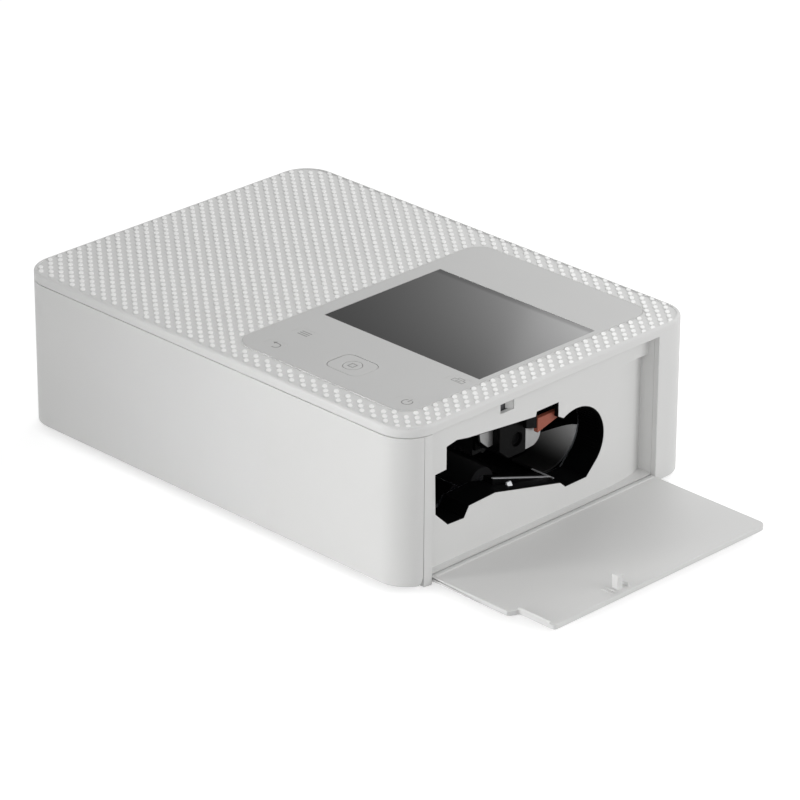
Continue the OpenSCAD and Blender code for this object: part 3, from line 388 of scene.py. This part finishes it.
# Cassette well: black moulded ABS. The liner stands behind the opening in the side, the
# front cradle behind it holds the supply spool, and the guide leads the paper past them.
dress(black_abs, "paper_guide")
fitted("well_liner", merged("cassette_liner"), black_abs, "case",
       ["cassette_liner"])
fitted("supply_cradle", merged("front_cradle"), black_abs, "case",
       ["front_cradle"], [(0.2, any_edge)])

# The liner ends in a thin lip that covers the cut edge of the opening. It is drawn from
# the faces of the bay frame that lie in this box, and ends just behind the plate's front.
lip_lo, lip_hi, lip_front, lip_wall = (84.8, -50.5, 10), (86.6, 31, 47.2), 86.38, 0.3
lip = merged("bay_frame")
others = [f for f in lip.faces if abs(f.normal.x) >= 0.2 or not all(
    lip_lo[i] < v.co[i] / MM < lip_hi[i] for v in f.verts for i in range(3))]
bmesh.ops.delete(lip, geom=others, context="FACES")
for v in lip.verts:
    v.co.x = min(v.co.x, lip_front * MM)
trial = bpy.data.objects.new("liner_lip", bpy.data.meshes.new("liner_lip"))
lip.to_mesh(trial.data)
scene.collection.objects.link(trial)
wall = trial.modifiers.new("wall", "SOLIDIFY")
wall.thickness = lip_wall * MM
wall.offset = 1.0
made = settled(trial)
bpy.data.objects.remove(trial)
lip.clear()
lip.from_mesh(made)
fitted("liner_lip", lip, black_abs, "case")


def interface(tree, *inputs):
    """Adds the tree's named inputs and its geometry output."""
    for name, kind, value in inputs:
        socket = tree.interface.new_socket(name, in_out="INPUT", socket_type=kind)
        if value is not None:
            socket.default_value = value
    tree.interface.new_socket("Geometry", in_out="OUTPUT", socket_type="NodeSocketGeometry")
    return add(tree, "NodeGroupInput").outputs


def grown(tree, name, **values):
    """Runs a geometry tree with its inputs set and returns the result as a bmesh."""
    seed = bpy.data.objects.new(name, bpy.data.meshes.new(name))
    scene.collection.objects.link(seed)
    modifier = seed.modifiers.new(name, "NODES")
    modifier.node_group = tree
    for item in tree.interface.items_tree:
        if item.in_out == "INPUT" and item.name in values:
            modifier[item.identifier] = values[item.name]
    made = settled(seed)
    seed.modifiers.clear()
    bpy.data.objects.remove(seed)
    bm = bmesh.new()
    bm.from_mesh(made)
    return bm


def closing(tree, instances, finish):
    """Ends a geometry tree: real geometry in its finish."""
    real = add(tree, "GeometryNodeRealizeInstances", {"Geometry": instances})
    real = add(tree, "GeometryNodeSetMaterial", {"Geometry": real.outputs[0],
                                                 "Material": finish})
    add(tree, "NodeGroupOutput", {"Geometry": real.outputs[0]})


# Ribs round the liner's rear lobe keep the cassette from sticking to it. The lobe runs
# round the middle of the rear spool.
spool_y, spool_z = 15.4, 25.3
ribs = bpy.data.node_groups.new("lining_ribs", "GeometryNodeTree")
given = interface(ribs, ("Radius", "NodeSocketFloat", 13.1 * MM),
                  ("Count", "NodeSocketInt", 26),
                  ("Start", "NodeSocketFloat", math.radians(-32)),
                  ("Step", "NodeSocketFloat", math.radians(5.4)),
                  ("Rib", "NodeSocketVector", (0.5 * MM, 0.45 * MM, 8.8 * MM)),
                  ("Depth", "NodeSocketFloat", 80.1 * MM),
                  ("Finish", "NodeSocketMaterial", None))
spots = add(ribs, "GeometryNodeMeshLine", {"Count": given["Count"]})
index = add(ribs, "GeometryNodeInputIndex").outputs[0]
angle = add(ribs, "ShaderNodeMath", {0: index, 1: given["Step"], 2: given["Start"]},
            operation="MULTIPLY_ADD").outputs[0]
far = add(ribs, "ShaderNodeMath", {0: angle}, operation="COSINE").outputs[0]
far = add(ribs, "ShaderNodeMath", {0: far, 1: given["Radius"], 2: spool_y * MM},
          operation="MULTIPLY_ADD").outputs[0]
high = add(ribs, "ShaderNodeMath", {0: angle}, operation="SINE").outputs[0]
high = add(ribs, "ShaderNodeMath", {0: high, 1: given["Radius"], 2: spool_z * MM},
           operation="MULTIPLY_ADD").outputs[0]
spot = add(ribs, "ShaderNodeCombineXYZ", {0: given["Depth"], 1: far, 2: high})
spots = add(ribs, "GeometryNodeSetPosition", {"Geometry": spots.outputs[0],
                                              "Position": spot.outputs[0]})
rib = add(ribs, "ShaderNodeSeparateXYZ", {0: given["Rib"]}).outputs
rib = add(ribs, "ShaderNodeCombineXYZ", {0: rib[2], 1: rib[0], 2: rib[1]})
rib = add(ribs, "GeometryNodeMeshCube", {"Size": rib.outputs[0]})
turned = add(ribs, "ShaderNodeCombineXYZ", {0: angle})
placed = add(ribs, "GeometryNodeInstanceOnPoints", {"Points": spots.outputs[0],
                                                    "Instance": rib.outputs[0],
                                                    "Rotation": turned.outputs[0]})
closing(ribs, placed.outputs[0], given["Finish"])
fitted("liner_ribs", grown(ribs, "liner_ribs", Finish=black_abs), black_abs, "case",
       corner=1)

# Rear trough: a curved sheet round the take-up spool. Its long part is dark, and a short
# guide of satin nickel-plated sheet with an oblique upper edge leads the cassette in.


def trough(x_from, x_to, top, foot=-60.0, radius=13.4, wall=0.7, steps=24):
    """A closed curved sheet round the take-up spool. top gives its upper end, in degrees,
    for each x in mm."""
    bm = bmesh.new()
    rows, bays = [], 8
    for x in [x_from + (x_to - x_from) * i / bays for i in range(bays + 1)]:
        ring = []
        for r in (radius, radius + wall):
            for k in range(steps + 1):
                a = math.radians(foot + (top(x) - foot) * k / steps)
                ring.append(bm.verts.new(Vector((
                    x, spool_y + r * math.cos(a), spool_z + r * math.sin(a))) * MM))
        rows.append(ring[:steps + 1] + ring[:steps:-1])
    for near, far in zip(rows, rows[1:]):
        for k in range(len(near)):
            n = (k + 1) % len(near)
            bm.faces.new((near[k], near[n], far[n], far[k]))
    for ring in (rows[0], rows[-1]):
        for k in range(steps):
            other = len(ring) - 1 - k
            bm.faces.new((ring[k], ring[k + 1], ring[other - 1], ring[other]))
    bmesh.ops.recalc_face_normals(bm, faces=bm.faces)
    return bm


# Satin nickel on the guide, with painted light: its colour runs from painted shade, nearly
# black at its foot, to a painted highlight at its top. It is drawn without a metal's mirror,
# which would only show the dark inside of the case.
shade_z = (12.5, 24.5)
nickel_painted_shade, tree = started("steel_satin_nickel_painted_shade")
place = add(tree, "ShaderNodeTexCoord").outputs["Object"]
axes = add(tree, "ShaderNodeSeparateXYZ", {0: place})
streak = add(tree, "ShaderNodeMapping", {0: place, 3: (0.1, 1, 1)}).outputs[0]
streak = add(tree, "ShaderNodeTexNoise", {"Vector": streak, "Scale": 1 / (0.8 * MM)})
up = add(tree, "ShaderNodeMapRange", {0: axes.outputs[2], 1: shade_z[0] * MM,
                                      2: shade_z[1] * MM, 3: 0.0, 4: 1.0},
         interpolation_type="SMOOTHSTEP")
tone = add(tree, "ShaderNodeMix", {0: up.outputs[0], 6: colour("#0A0A0A"),
                                   7: colour("#F4F4F4")}, data_type="RGBA")
bump = add(tree, "ShaderNodeBump", {"Height": streak.outputs[0], "Strength": 0.2,
                                    "Distance": 0.005 * MM})
skin = add(tree, "ShaderNodeBsdfPrincipled", {
    "Base Color": tone.outputs[2], "Roughness": 0.5, "Metallic": 0.0,
    "Normal": bump.outputs[0]})
add(tree, "ShaderNodeOutputMaterial", {"Surface": skin.outputs[0]})
fitted("rear_trough", trough(-49.9, 60.4, lambda x: 2.0), black_abs, "case")
guide_x = (60.5, 73.9)


def oblique(x):
    """The guide's upper edge, in degrees: it falls inwards in a soft curve."""
    return -6 - 31 * ((guide_x[1] - x) / (guide_x[1] - guide_x[0])) ** 1.3


fitted("rear_guide", trough(*guide_x, oblique, -100), nickel_painted_shade, "case",
       ["rear_cradle"])
# A black screen behind the guide is a dark sheet put there as painted shade of the case's
# inside, and closes the view into the case
fitted("guide_shade_screen", trough(guide_x[0], 75.0, lambda x: 38.0, -40, 14.25, 0.4), black_abs,
       "case")


def prism(bm, outline, lo, hi, axis=2):
    """Adds a straight-sided body on an outline in mm. axis is the way that it is drawn out."""
    ends = []
    for height in (lo, hi):
        spots = []
        for p in outline:
            at = list(p)
            at.insert(axis, height)
            spots.append(bm.verts.new(Vector(at) * MM))
        ends.append(spots)
    bm.faces.new(ends[0])
    bm.faces.new(ends[1])
    for k in range(len(outline)):
        n = (k + 1) % len(outline)
        bm.faces.new((ends[0][k], ends[0][n], ends[1][n], ends[1][k]))
    bmesh.ops.recalc_face_normals(bm, faces=bm.faces)


# Wear strips: folded spring steel along the ramp's upper edge and the well's inner sill,
# and a small contact pad at the foot of the ramp
# Polished spring steel: bright, with fine lines along its length. It is only partly a
# mirror, because the bay has little to show in one.
spring_steel = plated("steel_spring_polished", "#C9CACC", "#B0B2B4", 0.34, spangle=0.6,
                      stretch=(0.05, 1, 1))
spring_steel.node_tree.nodes["Principled BSDF"].inputs["Metallic"].default_value = 0.25
bm = bmesh.new()
prism(bm, [(-16.8, 22.0), (-16.6, 22.3), (6.4, 14.9), (10.4, 13.7), (10.4, 13.4), (6.2, 14.6)],
      79.6, 80.35, axis=0)
prism(bm, [(11.2, 12.45), (11.2, 12.75), (11.9, 12.7), (11.9, 12.45)], 70.8, 80.5, axis=0)
prism(bm, [(81.8, 18.5), (81.8, 19.8), (82.3, 19.8), (83.1, 18.5)], -12.4, -10.4, axis=1)
fitted("wear_strips", bm, spring_steel, "case")

# Lock lever: the orange-brown ABS catch over the cassette, which slides up against a wire
# spring in the liner's guide.
# Orange-brown ABS, moulded and lightly eroded
lever_abs = moulded("abs_orange_brown_moulded", "#9C5644", "#93503E", 0.5,
                    Specular_IOR_Level=0.3)
# The finger plate slants down to its free end, which is a little shorter than the CAD's
plate_z, plate_drop = 40, 0.7
end_y, end_short, foot_z, foot_drop = -1.9, 1.4, 36, 1.1
bm = merged("lock_lever")
for v in bm.verts:
    if abs(v.co.z / MM - plate_z) < 0.1:
        v.co.z -= plate_drop * MM
    if v.co.y < end_y * MM:
        v.co.y += end_short * MM
        if v.co.z < foot_z * MM:
            v.co.z -= foot_drop * MM
fitted("cassette_catch", bm, lever_abs, "lock_lever_body",
       ["lock_lever"], [(0.2, any_edge)])
# A plain sleeve stands in for the spring's coils, and is attached to no body.
spring = fitted("catch_spring", merged("lock_spring"), pin_steel, None,
                ["lock_spring"])
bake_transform(spring)
# The block beside it, which guides its free end
bm = bmesh.new()
prism(bm, [(-5.8, 37.4), (-5.8, 41.2), (-0.9, 41.4), (-0.9, 36.0)], 82.7, 84.3, axis=0)
fitted("catch_guide", bm, black_abs, "case", round_off=[(0.2, any_edge)])

# Main board with its jack, the USB port and the card slot: FR4 with green solder mask,
# which stands upright behind the mechanism. Its sockets end in the rear wall.


def layered(name, ground, track, pitch, share, roughness, along=(1, 1, 1)):
    """A printed board or film: fine parallel conductors, which show through the lacquer."""
    made, tree = started(name)
    place = add(tree, "ShaderNodeTexCoord").outputs["Object"]
    place = add(tree, "ShaderNodeMapping", {0: place, 3: along}).outputs[0]
    wave = add(tree, "ShaderNodeTexWave", {"Vector": place, "Scale": 0.628 / (pitch * MM)},
               bands_direction="DIAGONAL")
    step = add(tree, "ShaderNodeMapRange", {0: wave.outputs[1], 1: share - 0.05,
                                            2: share + 0.05})
    tone = add(tree, "ShaderNodeMix", {0: step.outputs[0], 6: colour(ground),
                                       7: colour(track)}, data_type="RGBA")
    bump = add(tree, "ShaderNodeBump", {"Height": step.outputs[0], "Strength": 0.3,
                                        "Distance": 0.03 * MM})
    skin = add(tree, "ShaderNodeBsdfPrincipled", {
        "Base Color": tone.outputs[2], "Roughness": roughness, "Normal": bump.outputs[0]})
    add(tree, "ShaderNodeOutputMaterial", {"Surface": skin.outputs[0]})
    return made


# Solder mask: glossy green over copper tracks, drawn 1.2 mm apart so that they show
board = layered("fr4_green_solder_mask", "#14472B", "#2C6B42", 1.2, 0.62, 0.3)
# Tin-plated port shells: bright grey, with the flow marks of the dip
port_steel = plated("steel_tin_plated", "#C9CACC", "#A9ABAE", 0.28, spangle=2.0)
dress(board, "main_board", "key_board")
dress(black_abs, "dc_jack")
dress(port_steel, "usb_port", "card_slot")

# Upper shell: one ABS moulding with the top, the left, rear and right walls and the band
# over the front cover. It has a soft edge all round the top and is screwed on from below.
# Fine-eroded white ABS: matt, with a faint sheen at low angles
white_abs = moulded("abs_white_fine_eroded", "#DFDFDE", "#DBDBDA", 0.46,
                    Specular_IOR_Level=0.4)
# Outer walls and top, the field of the pattern, and the pocket round the panel, in mm
side_x, side_y, corner_r, top_z = 91.1, 66.5, 11.6, 57.6
field_half, field_r, field_grow = (89.5, 64.9), 10.0, 0.35
panel_mid, pocket_half, pocket_r, pocket_grow = (41, 0.6), (40.2, 57.6), 8.0, -0.75


def on_rim(p, centre=(0, 0), half=(side_x, side_y), radius=corner_r, reach=0.15):
    """True where a point in mm lies on the outline of a rectangle with round corners."""
    x, y = (abs(p[i] - centre[i]) - (half[i] - radius) for i in (0, 1))
    if x > 0 and y > 0:
        return math.hypot(x, y) > radius - reach
    return x > radius - reach or y > radius - reach


def top_edge(a, b):
    return on_rim(a) and on_rim(b) and min(a.z, b.z) > top_z - 0.01


def skin_edge(a, b):
    return on_rim(a) and on_rim(b) and max(a.z, b.z) < top_z - 0.5


# The step between the field and the panel is drawn close round the panel, and the one
# along the walls close to them, so that the pattern fills the field
bm = merged("upper_housing")
for v in bm.verts:
    p = v.co / MM
    for centre, half, radius, grow in ((panel_mid, pocket_half, pocket_r, pocket_grow),
                                       ((0, 0), field_half, field_r, field_grow)):
        if p.z < top_z - 0.4 or not on_rim(p, centre, half, radius, 0.1):
            continue
        core = [max(-(half[i] - radius), min(half[i] - radius, p[i] - centre[i]))
                for i in (0, 1)]
        off = Vector((p[0] - centre[0] - core[0], p[1] - centre[1] - core[1]))
        if abs(off.length - radius) < 0.12:
            off *= (radius + grow) / off.length
            v.co.x = (centre[0] + core[0] + off.x) * MM
            v.co.y = (centre[1] + core[1] + off.y) * MM
pocket_edge = boxed((1.5, -56.4, top_z - 0.01), (80.5, 57.5, top_z + 0.01))
fitted("upper_shell", bm, white_abs, "case", ["upper_housing"],
       [(1.0, top_edge), (0.3, skin_edge), (0.06, pocket_edge)])

# Raised pattern of the top: a field of small low studs with flat tops, moulded with the
# shell in staggered rows. It stops short of the edge and of the control panel.


def beyond(tree, at, centre, half, radius):
    """Nodes for how far a point lies outside a rectangle with round corners, given in mm."""
    centre = (*[c * MM for c in centre], 0)
    core = (*[(h - radius) * MM for h in half], 0)
    off = add(tree, "ShaderNodeVectorMath", {0: at, 1: centre}, operation="SUBTRACT")
    off = add(tree, "ShaderNodeVectorMath", {0: off.outputs[0]}, operation="ABSOLUTE")
    off = add(tree, "ShaderNodeVectorMath", {0: off.outputs[0], 1: core}, operation="SUBTRACT")
    out = add(tree, "ShaderNodeVectorMath", {0: off.outputs[0], 1: (0, 0, 0)},
              operation="MAXIMUM")
    out = add(tree, "ShaderNodeVectorMath", {0: out.outputs[0]}, operation="LENGTH")
    axes = add(tree, "ShaderNodeSeparateXYZ", {0: off.outputs[0]})
    deep = add(tree, "ShaderNodeMath", {0: axes.outputs[0], 1: axes.outputs[1]},
               operation="MAXIMUM")
    deep = add(tree, "ShaderNodeMath", {0: deep.outputs[0], 1: 0.0}, operation="MINIMUM")
    total = add(tree, "ShaderNodeMath", {0: out.outputs[1], 1: deep.outputs[0]},
                operation="ADD")
    return add(tree, "ShaderNodeMath", {0: total.outputs[0], 1: radius * MM},
               operation="SUBTRACT").outputs[0]


# The flat tops are smoother than the valleys. The colour is painted shade in the valleys and a
# painted highlight on the flat tops, so the valleys look darker
valley_z, flat_z = top_z - 0.36, top_z - 0.02
stud_abs_painted_shade, tree = started("abs_white_painted_stud_shade")
place = add(tree, "ShaderNodeTexCoord").outputs["Object"]
axes = add(tree, "ShaderNodeSeparateXYZ", {0: place})
rise = add(tree, "ShaderNodeMapRange", {0: axes.outputs[2], 1: valley_z * MM,
                                        2: flat_z * MM})
tone = add(tree, "ShaderNodeMix", {0: rise.outputs[0], 6: colour("#C6C6C5"),
                                   7: colour("#FAFAF9")}, data_type="RGBA")
gloss = add(tree, "ShaderNodeMapRange", {0: rise.outputs[0], 3: 0.6, 4: 0.28})
skin = add(tree, "ShaderNodeBsdfPrincipled", {"Base Color": tone.outputs[2],
                                              "Roughness": gloss.outputs[0], "IOR": 1.5})
add(tree, "ShaderNodeOutputMaterial", {"Surface": skin.outputs[0]})

# The grid of studs is larger than the top, and what lies beyond the field is left out
rows = 66
field = bpy.data.node_groups.new("stud_field", "GeometryNodeTree")
given = interface(field, ("Pitch", "NodeSocketFloat", 3.5355 * MM),
                  ("Stagger", "NodeSocketVector", (1.048, 0.856, 1.0)),
                  ("Shift", "NodeSocketVector", (0.13 * MM, 0.75 * MM, (top_z - 0.4) * MM)),
                  ("Base", "NodeSocketFloat", 1.1 * MM),
                  ("Flat", "NodeSocketFloat", 0.7 * MM),
                  ("Length", "NodeSocketVector", (1.75, 1.0, 1.0)),
                  ("Height", "NodeSocketFloat", 0.385 * MM),
                  ("Inset", "NodeSocketFloat", -0.1 * MM),
                  ("Clear", "NodeSocketFloat", 0.1 * MM),
                  ("Finish", "NodeSocketMaterial", None))
across = add(field, "ShaderNodeMath", {0: given["Pitch"], 1: float(rows)},
             operation="MULTIPLY")
grid = add(field, "GeometryNodeMeshGrid", {"Size X": across.outputs[0],
                                           "Size Y": across.outputs[0],
                                           "Vertices X": rows + 1, "Vertices Y": rows + 1})
grid = add(field, "GeometryNodeTransform", {"Geometry": grid.outputs[0],
                                            "Rotation": (0, 0, math.radians(45))})
grid = add(field, "GeometryNodeTransform", {"Geometry": grid.outputs[0],
                                            "Scale": given["Stagger"],
                                            "Translation": given["Shift"]})
place = add(field, "GeometryNodeInputPosition").outputs[0]
flat = add(field, "ShaderNodeVectorMath", {0: place, 1: (1, 1, 0)}, operation="MULTIPLY")
# A stud stands where its middle lies within the CAD's field, Inset from its outline (less
# than 0 is outwards), and at least Clear outside the panel's pocket
edge = beyond(field, flat.outputs[0], (0, 0), field_half, field_r)
hole = beyond(field, flat.outputs[0], panel_mid, pocket_half, pocket_r)
inside = add(field, "ShaderNodeMath", {0: edge, 1: given["Inset"]}, operation="ADD")
inside = add(field, "FunctionNodeCompare", {0: inside.outputs[0], 1: 0.0},
             operation="LESS_THAN")
clear = add(field, "FunctionNodeCompare", {0: hole, 1: given["Clear"]},
            operation="GREATER_THAN")
kept = add(field, "FunctionNodeBooleanMath", {0: inside.outputs[0], 1: clear.outputs[0]},
           operation="AND")
stud = add(field, "GeometryNodeMeshCone", {"Vertices": 8, "Radius Top": given["Flat"],
                                           "Radius Bottom": given["Base"],
                                           "Depth": given["Height"]})
studs = add(field, "GeometryNodeInstanceOnPoints", {"Points": grid.outputs[0],
                                                    "Selection": kept.outputs[0],
                                                    "Instance": stud.outputs[0],
                                                    "Rotation": (0, 0, math.radians(-45)),
                                                    "Scale": given["Length"]})
closing(field, studs.outputs[0], given["Finish"])
fitted("top_pattern", grown(field, "studs", Finish=stud_abs_painted_shade), stud_abs_painted_shade, "case",
       corner=1)

# Front cover: the ABS door over the paper slot, wrapped round both corners and hinged at
# its lower edge on two steel pins. The tray frame behind it guides the paper tray.
# Its seams are finer than the CAD's round clearances: its upper edge and its two ends are
# drawn longer, but not low down at the hinge
door_top, top_grow = 53.7, 0.22
end_x, end_foot, end_grow = 87, 16, 0.24
bend_y = -59
bm = merged("front_cover")
end = max(v.co.y for v in bm.verts if abs(v.co.x) > (end_x + 1) * MM)
for v in bm.verts:
    if v.co.z > door_top * MM:
        v.co.z += top_grow * MM
    if v.co.y > end - 0.02 * MM and abs(v.co.x) > end_x * MM and v.co.z > end_foot * MM:
        v.co.y += end_grow * MM


def door_skin(a, b):
    return on_rim(a) and on_rim(b) and min(a.y, b.y) < bend_y


fitted("front_door", bm, white_abs, "front_cover_body", ["front_cover"],
       [(0.3, door_skin)])
dress(pin_steel, "front_hinge_pins")
dress(pale_abs, "tray_frame")

# Bay frame: the moulded ABS wall behind the side cover, with the opening for the ribbon
# cassette, the jamb at the front corner, the finger scoop, the latch slot and the sill.
# The finger scoop is a shallow dish: its depth behind the plate is scaled down, and it
# slopes in from its upper and lower ends
plate_x, scoop_y, scoop_ends, scoop_slope, scoop_scale = 86.5, 30.1, (4.1, 48.5), 1.6, 0.34
bm = merged("bay_frame")
for v in bm.verts:
    if v.co.y > scoop_y * MM and v.co.x < (plate_x - 0.05) * MM:
        at_end = min(abs(v.co.z / MM - z) for z in scoop_ends) < 0.05
        front = (plate_x - (scoop_slope if at_end else 0.0)) * MM
        v.co.x = front - scoop_scale * (front - v.co.x)
jamb_edge = boxed((90, -57.9, 3), (92, -50, 56))
fitted("bay_wall", bm, white_abs, "case", ["bay_frame"], [(0.2, jamb_edge)])
# The slot for the flap's hook is open at its near end and slopes up to the plate
bm = bmesh.new()
prism(bm, [(84.3, -15.8), (86.2, -14.05), (84.9, -14.05), (84.0, -15.0)], 47.95, 51.35)
fitted("slot_slope", bm, white_abs, "case")
# Grey glass-filled PBT: dull, so that the slot in front of it shows a paler end
switch_pbt = moulded("pbt_grey_moulded", "#5C5C5E", "#525254", 0.6, grain=0.8,
                     Specular_IOR_Level=0.3)
dress(switch_pbt, "cover_switch")

# Side cover: a flat moulded ABS flap on two small pins, with the hook that holds it shut
# and low ribs inside. It lies open, as in the photograph.
# The rib stands along the notch only, and is a little lower than the CAD's. The two ribs
# before the hook, which start out higher, are mere lines.
rib_start, rib_start_now, rib_drop = 113, 124.4, 0.3
line_top, line_drop, hook_y = 5.7, 1.0, -20.3
bm = merged("side_cover")
for v in bm.verts:
    if abs(v.co.x / MM - rib_start) < 0.1 and v.co.z > 4.0 * MM:
        v.co.x = rib_start_now * MM
    if v.co.z > 5.0 * MM and v.co.y < hook_y * MM:
        v.co.z -= (line_drop if v.co.z > line_top * MM else rib_drop) * MM
fitted("side_flap", bm, white_abs, "side_cover_body",
       ["side_cover"], [(0.25, any_edge)])
# A low bead along the hinge edge, which meets the sill when the flap is shut
bm = bmesh.new()
prism(bm, [(90.5, 4.45), (90.6, 4.64), (90.9, 4.71), (91.4, 4.71), (91.8, 4.62),
           (91.95, 4.45)], -53.6, 47.8, axis=1)
fitted("flap_bead", bm, white_abs, "side_cover_body", corner=50)
dress(pin_steel, "side_hinge_pins")

# Control panel: a separate ABS plate pressed into a pocket of the top, with openings for
# the window and the keys. The display and the key board hang under it.
# Satin paint on ABS: even, slightly darker than the case and a little smoother
panel_paint = moulded("abs_satin_grey_paint", "#C4C4C3", "#C0C0BF", 0.42, grain=0.4,
                      depth=0.003)
panel_half, panel_r = (39.2, 56.6), 7.0


def panel_edge(a, b):
    return min(a.z, b.z) > top_z - 0.01 and all(
        on_rim(p, panel_mid, panel_half, panel_r) for p in (a, b))


fitted("panel_plate", merged("control_panel"), panel_paint, "case",
       ["control_panel"], [(0.06, panel_edge)])
dress(black_abs, "lcd_module", "pad_carrier")
# Polyimide film: amber, with copper conductors 1 mm apart along its length
film = layered("polyimide_film_etched", "#A3631F", "#C98B3C", 1.0, 0.5, 0.35, along=(1, 0, 0))
dress(film, "flat_cable")

# Display window: a flat sheet of smoked acrylic glued into the panel from below, with the
# dark display behind it.
# Polished smoked acrylic over the dark display. Its colour carries a painted reflection,
# which pales towards the rear right. The painted reflection starts at near_left and gains
# towards the right, the rear, and both at once, over the spans sheen_x and sheen_y in mm.
# tone_curve then bends it.
sheen_x, sheen_y, band_y = (10, 76), (-18, 22), (29.3, 30.9)
near_left, to_right, to_rear, to_both, tone_curve = 0.165, 0.170, 0.176, 0.104, 2.2
smoked, tree = started("acrylic_smoked_painted_reflection")
place = add(tree, "ShaderNodeTexCoord").outputs["Object"]
axes = add(tree, "ShaderNodeSeparateXYZ", {0: place})
u = add(tree, "ShaderNodeMapRange", {0: axes.outputs[0], 1: sheen_x[0] * MM,
                                     2: sheen_x[1] * MM, 3: 0.0, 4: 1.0}, clamp=False)
v = add(tree, "ShaderNodeMapRange", {0: axes.outputs[1], 1: sheen_y[0] * MM,
                                     2: sheen_y[1] * MM, 3: 0.0, 4: 1.0}, clamp=False)
part = add(tree, "ShaderNodeMath", {0: v.outputs[0], 1: to_both, 2: to_right},
           operation="MULTIPLY_ADD")
part = add(tree, "ShaderNodeMath", {0: u.outputs[0], 1: part.outputs[0], 2: near_left},
           operation="MULTIPLY_ADD")
part = add(tree, "ShaderNodeMath", {0: v.outputs[0], 1: to_rear, 2: part.outputs[0]},
           operation="MULTIPLY_ADD")
# The display's frame shows as a dark band along the rear
band = add(tree, "ShaderNodeMapRange", {0: axes.outputs[1], 1: band_y[0] * MM,
                                        2: band_y[1] * MM, 3: 1.0, 4: 0.8})
part = add(tree, "ShaderNodeMath", {0: part.outputs[0], 1: band.outputs[0]},
           operation="MULTIPLY")
tone = add(tree, "ShaderNodeMath", {0: part.outputs[0], 1: tone_curve}, operation="POWER")
skin = add(tree, "ShaderNodeBsdfPrincipled", {
    "Base Color": tone.outputs[0], "Roughness": 0.12, "IOR": 1.49,
    "Specular IOR Level": 0.09})
add(tree, "ShaderNodeOutputMaterial", {"Surface": skin.outputs[0]})
fitted("display_window", merged("screen_window"), smoked, "case",
       ["screen_window"], [(0.1, lambda a, b: min(a.z, b.z) > top_z - 0.1)])

# Keys: ABS caps in the panel's paint, each sprung on its own, and the four-way pad round
# the centre key. They close their openings almost without a gap.


def cap(node, grow, sink, soft=0.15, keep=0.0):
    """A key's finished cap, in mm. grow widens it in its opening, sink lowers its top, soft
    rounds its upper edge, and keep leaves what lies that near its middle as it is."""
    middle = sum((Vector(c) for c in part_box(node)), Vector()) / 2
    bm = merged(node)
    for v in bm.verts:
        if v.co.z < (top_z - 1.1) * MM:
            continue
        off = v.co - middle
        if math.hypot(off.x, off.y) > keep * MM:
            v.co.x += math.copysign(grow * MM, off.x)
            v.co.y += math.copysign(grow * MM, off.y)
        if v.co.z > (top_z - 0.1) * MM:
            v.co.z -= sink * MM
    fitted(node.replace("_key", "_cap"), bm, panel_paint, node + "_body",
           [node], [(soft, lambda a, b: min(a.z, b.z) > top_z - 0.2)])


for node in ("menu_key", "back_key", "print_key", "power_key"):
    cap(node, grow=0.11, sink=0.02, soft=0.04)
cap("four_way_key", grow=0.0, sink=0.02, soft=0.3, keep=4.0)
cap("ok_key", grow=0.0, sink=0.06)

# Key marks: grey ink, pad-printed on the caps, in lines that are let into their tops. They
# are plain signs for menu, back, print and power, and a small square on the centre key.
# Pad-printed ink: flat grey, with the faint mottle of a thin print
ink = moulded("ink_pad_printed_grey", "#8F8F8E", "#858584", 0.6, grain=0.5, depth=0.002)
mark_z = (top_z - 0.06, top_z - 0.015)


def line(bm, points, width, closed=False):
    """Adds a printed line of even width along points in mm."""
    count = len(points)
    points = [Vector(p) for p in points]
    inner, outer = [], []
    for k, p in enumerate(points):
        before = points[k - 1] if closed or k else p
        after = points[(k + 1) % count] if closed or k < count - 1 else p
        way = ((p - before).normalized() + (after - p).normalized()).normalized()
        normal = Vector((-way.y, way.x)) * width / 2
        inner.append(p - normal)
        outer.append(p + normal)
    if closed:
        for k in range(count):
            n = (k + 1) % count
            prism(bm, [inner[k], inner[n], outer[n], outer[k]], *mark_z)
    else:
        prism(bm, inner + outer[::-1], *mark_z)


def bend(cx, cy, r, start, end, count=20):
    """Points on an arc, in mm and degrees."""
    return [(cx + r * math.cos(math.radians(start + (end - start) * k / count)),
             cy + r * math.sin(math.radians(start + (end - start) * k / count)))
            for k in range(count + 1)]


bm = bmesh.new()
for rise in (-1.1, 0, 1.1):
    line(bm, [(12.2, -36.2 + rise), (16.6, -36.2 + rise)], 0.45)
fitted("menu_mark", bm, ink, "menu_key_body")
bm = bmesh.new()
line(bm, bend(14.5, -49.1, 1.5, -110, 100), 0.42)
line(bm, [(14.4, -47.6), (12.7, -47.6)], 0.42)
prism(bm, [(13.1, -46.7), (13.1, -48.5), (11.8, -47.6)], *mark_z)
fitted("back_mark", bm, ink, "back_key_body")
bm = bmesh.new()
line(bm, [(71.9, -27.6), (76.5, -27.6), (76.5, -25.9), (71.9, -25.9)], 0.4, closed=True)
line(bm, [(73.0, -25.7), (73.0, -24.8), (75.4, -24.8), (75.4, -25.7)], 0.35)
line(bm, [(73.0, -26.9), (75.4, -26.9)], 0.35)
fitted("print_mark", bm, ink, "print_key_body")
bm = bmesh.new()
line(bm, bend(74.0, -49.3, 1.75, 120, 420), 0.42)
line(bm, [(74.0, -49.0), (74.0, -46.9)], 0.42)
fitted("power_mark", bm, ink, "power_key_body")
bm = bmesh.new()
line(bm, [(41.5, -43.4), (43.7, -43.4), (43.7, -41.2), (41.5, -41.2)], 0.42, closed=True)
fitted("centre_mark", bm, ink, "ok_key_body")
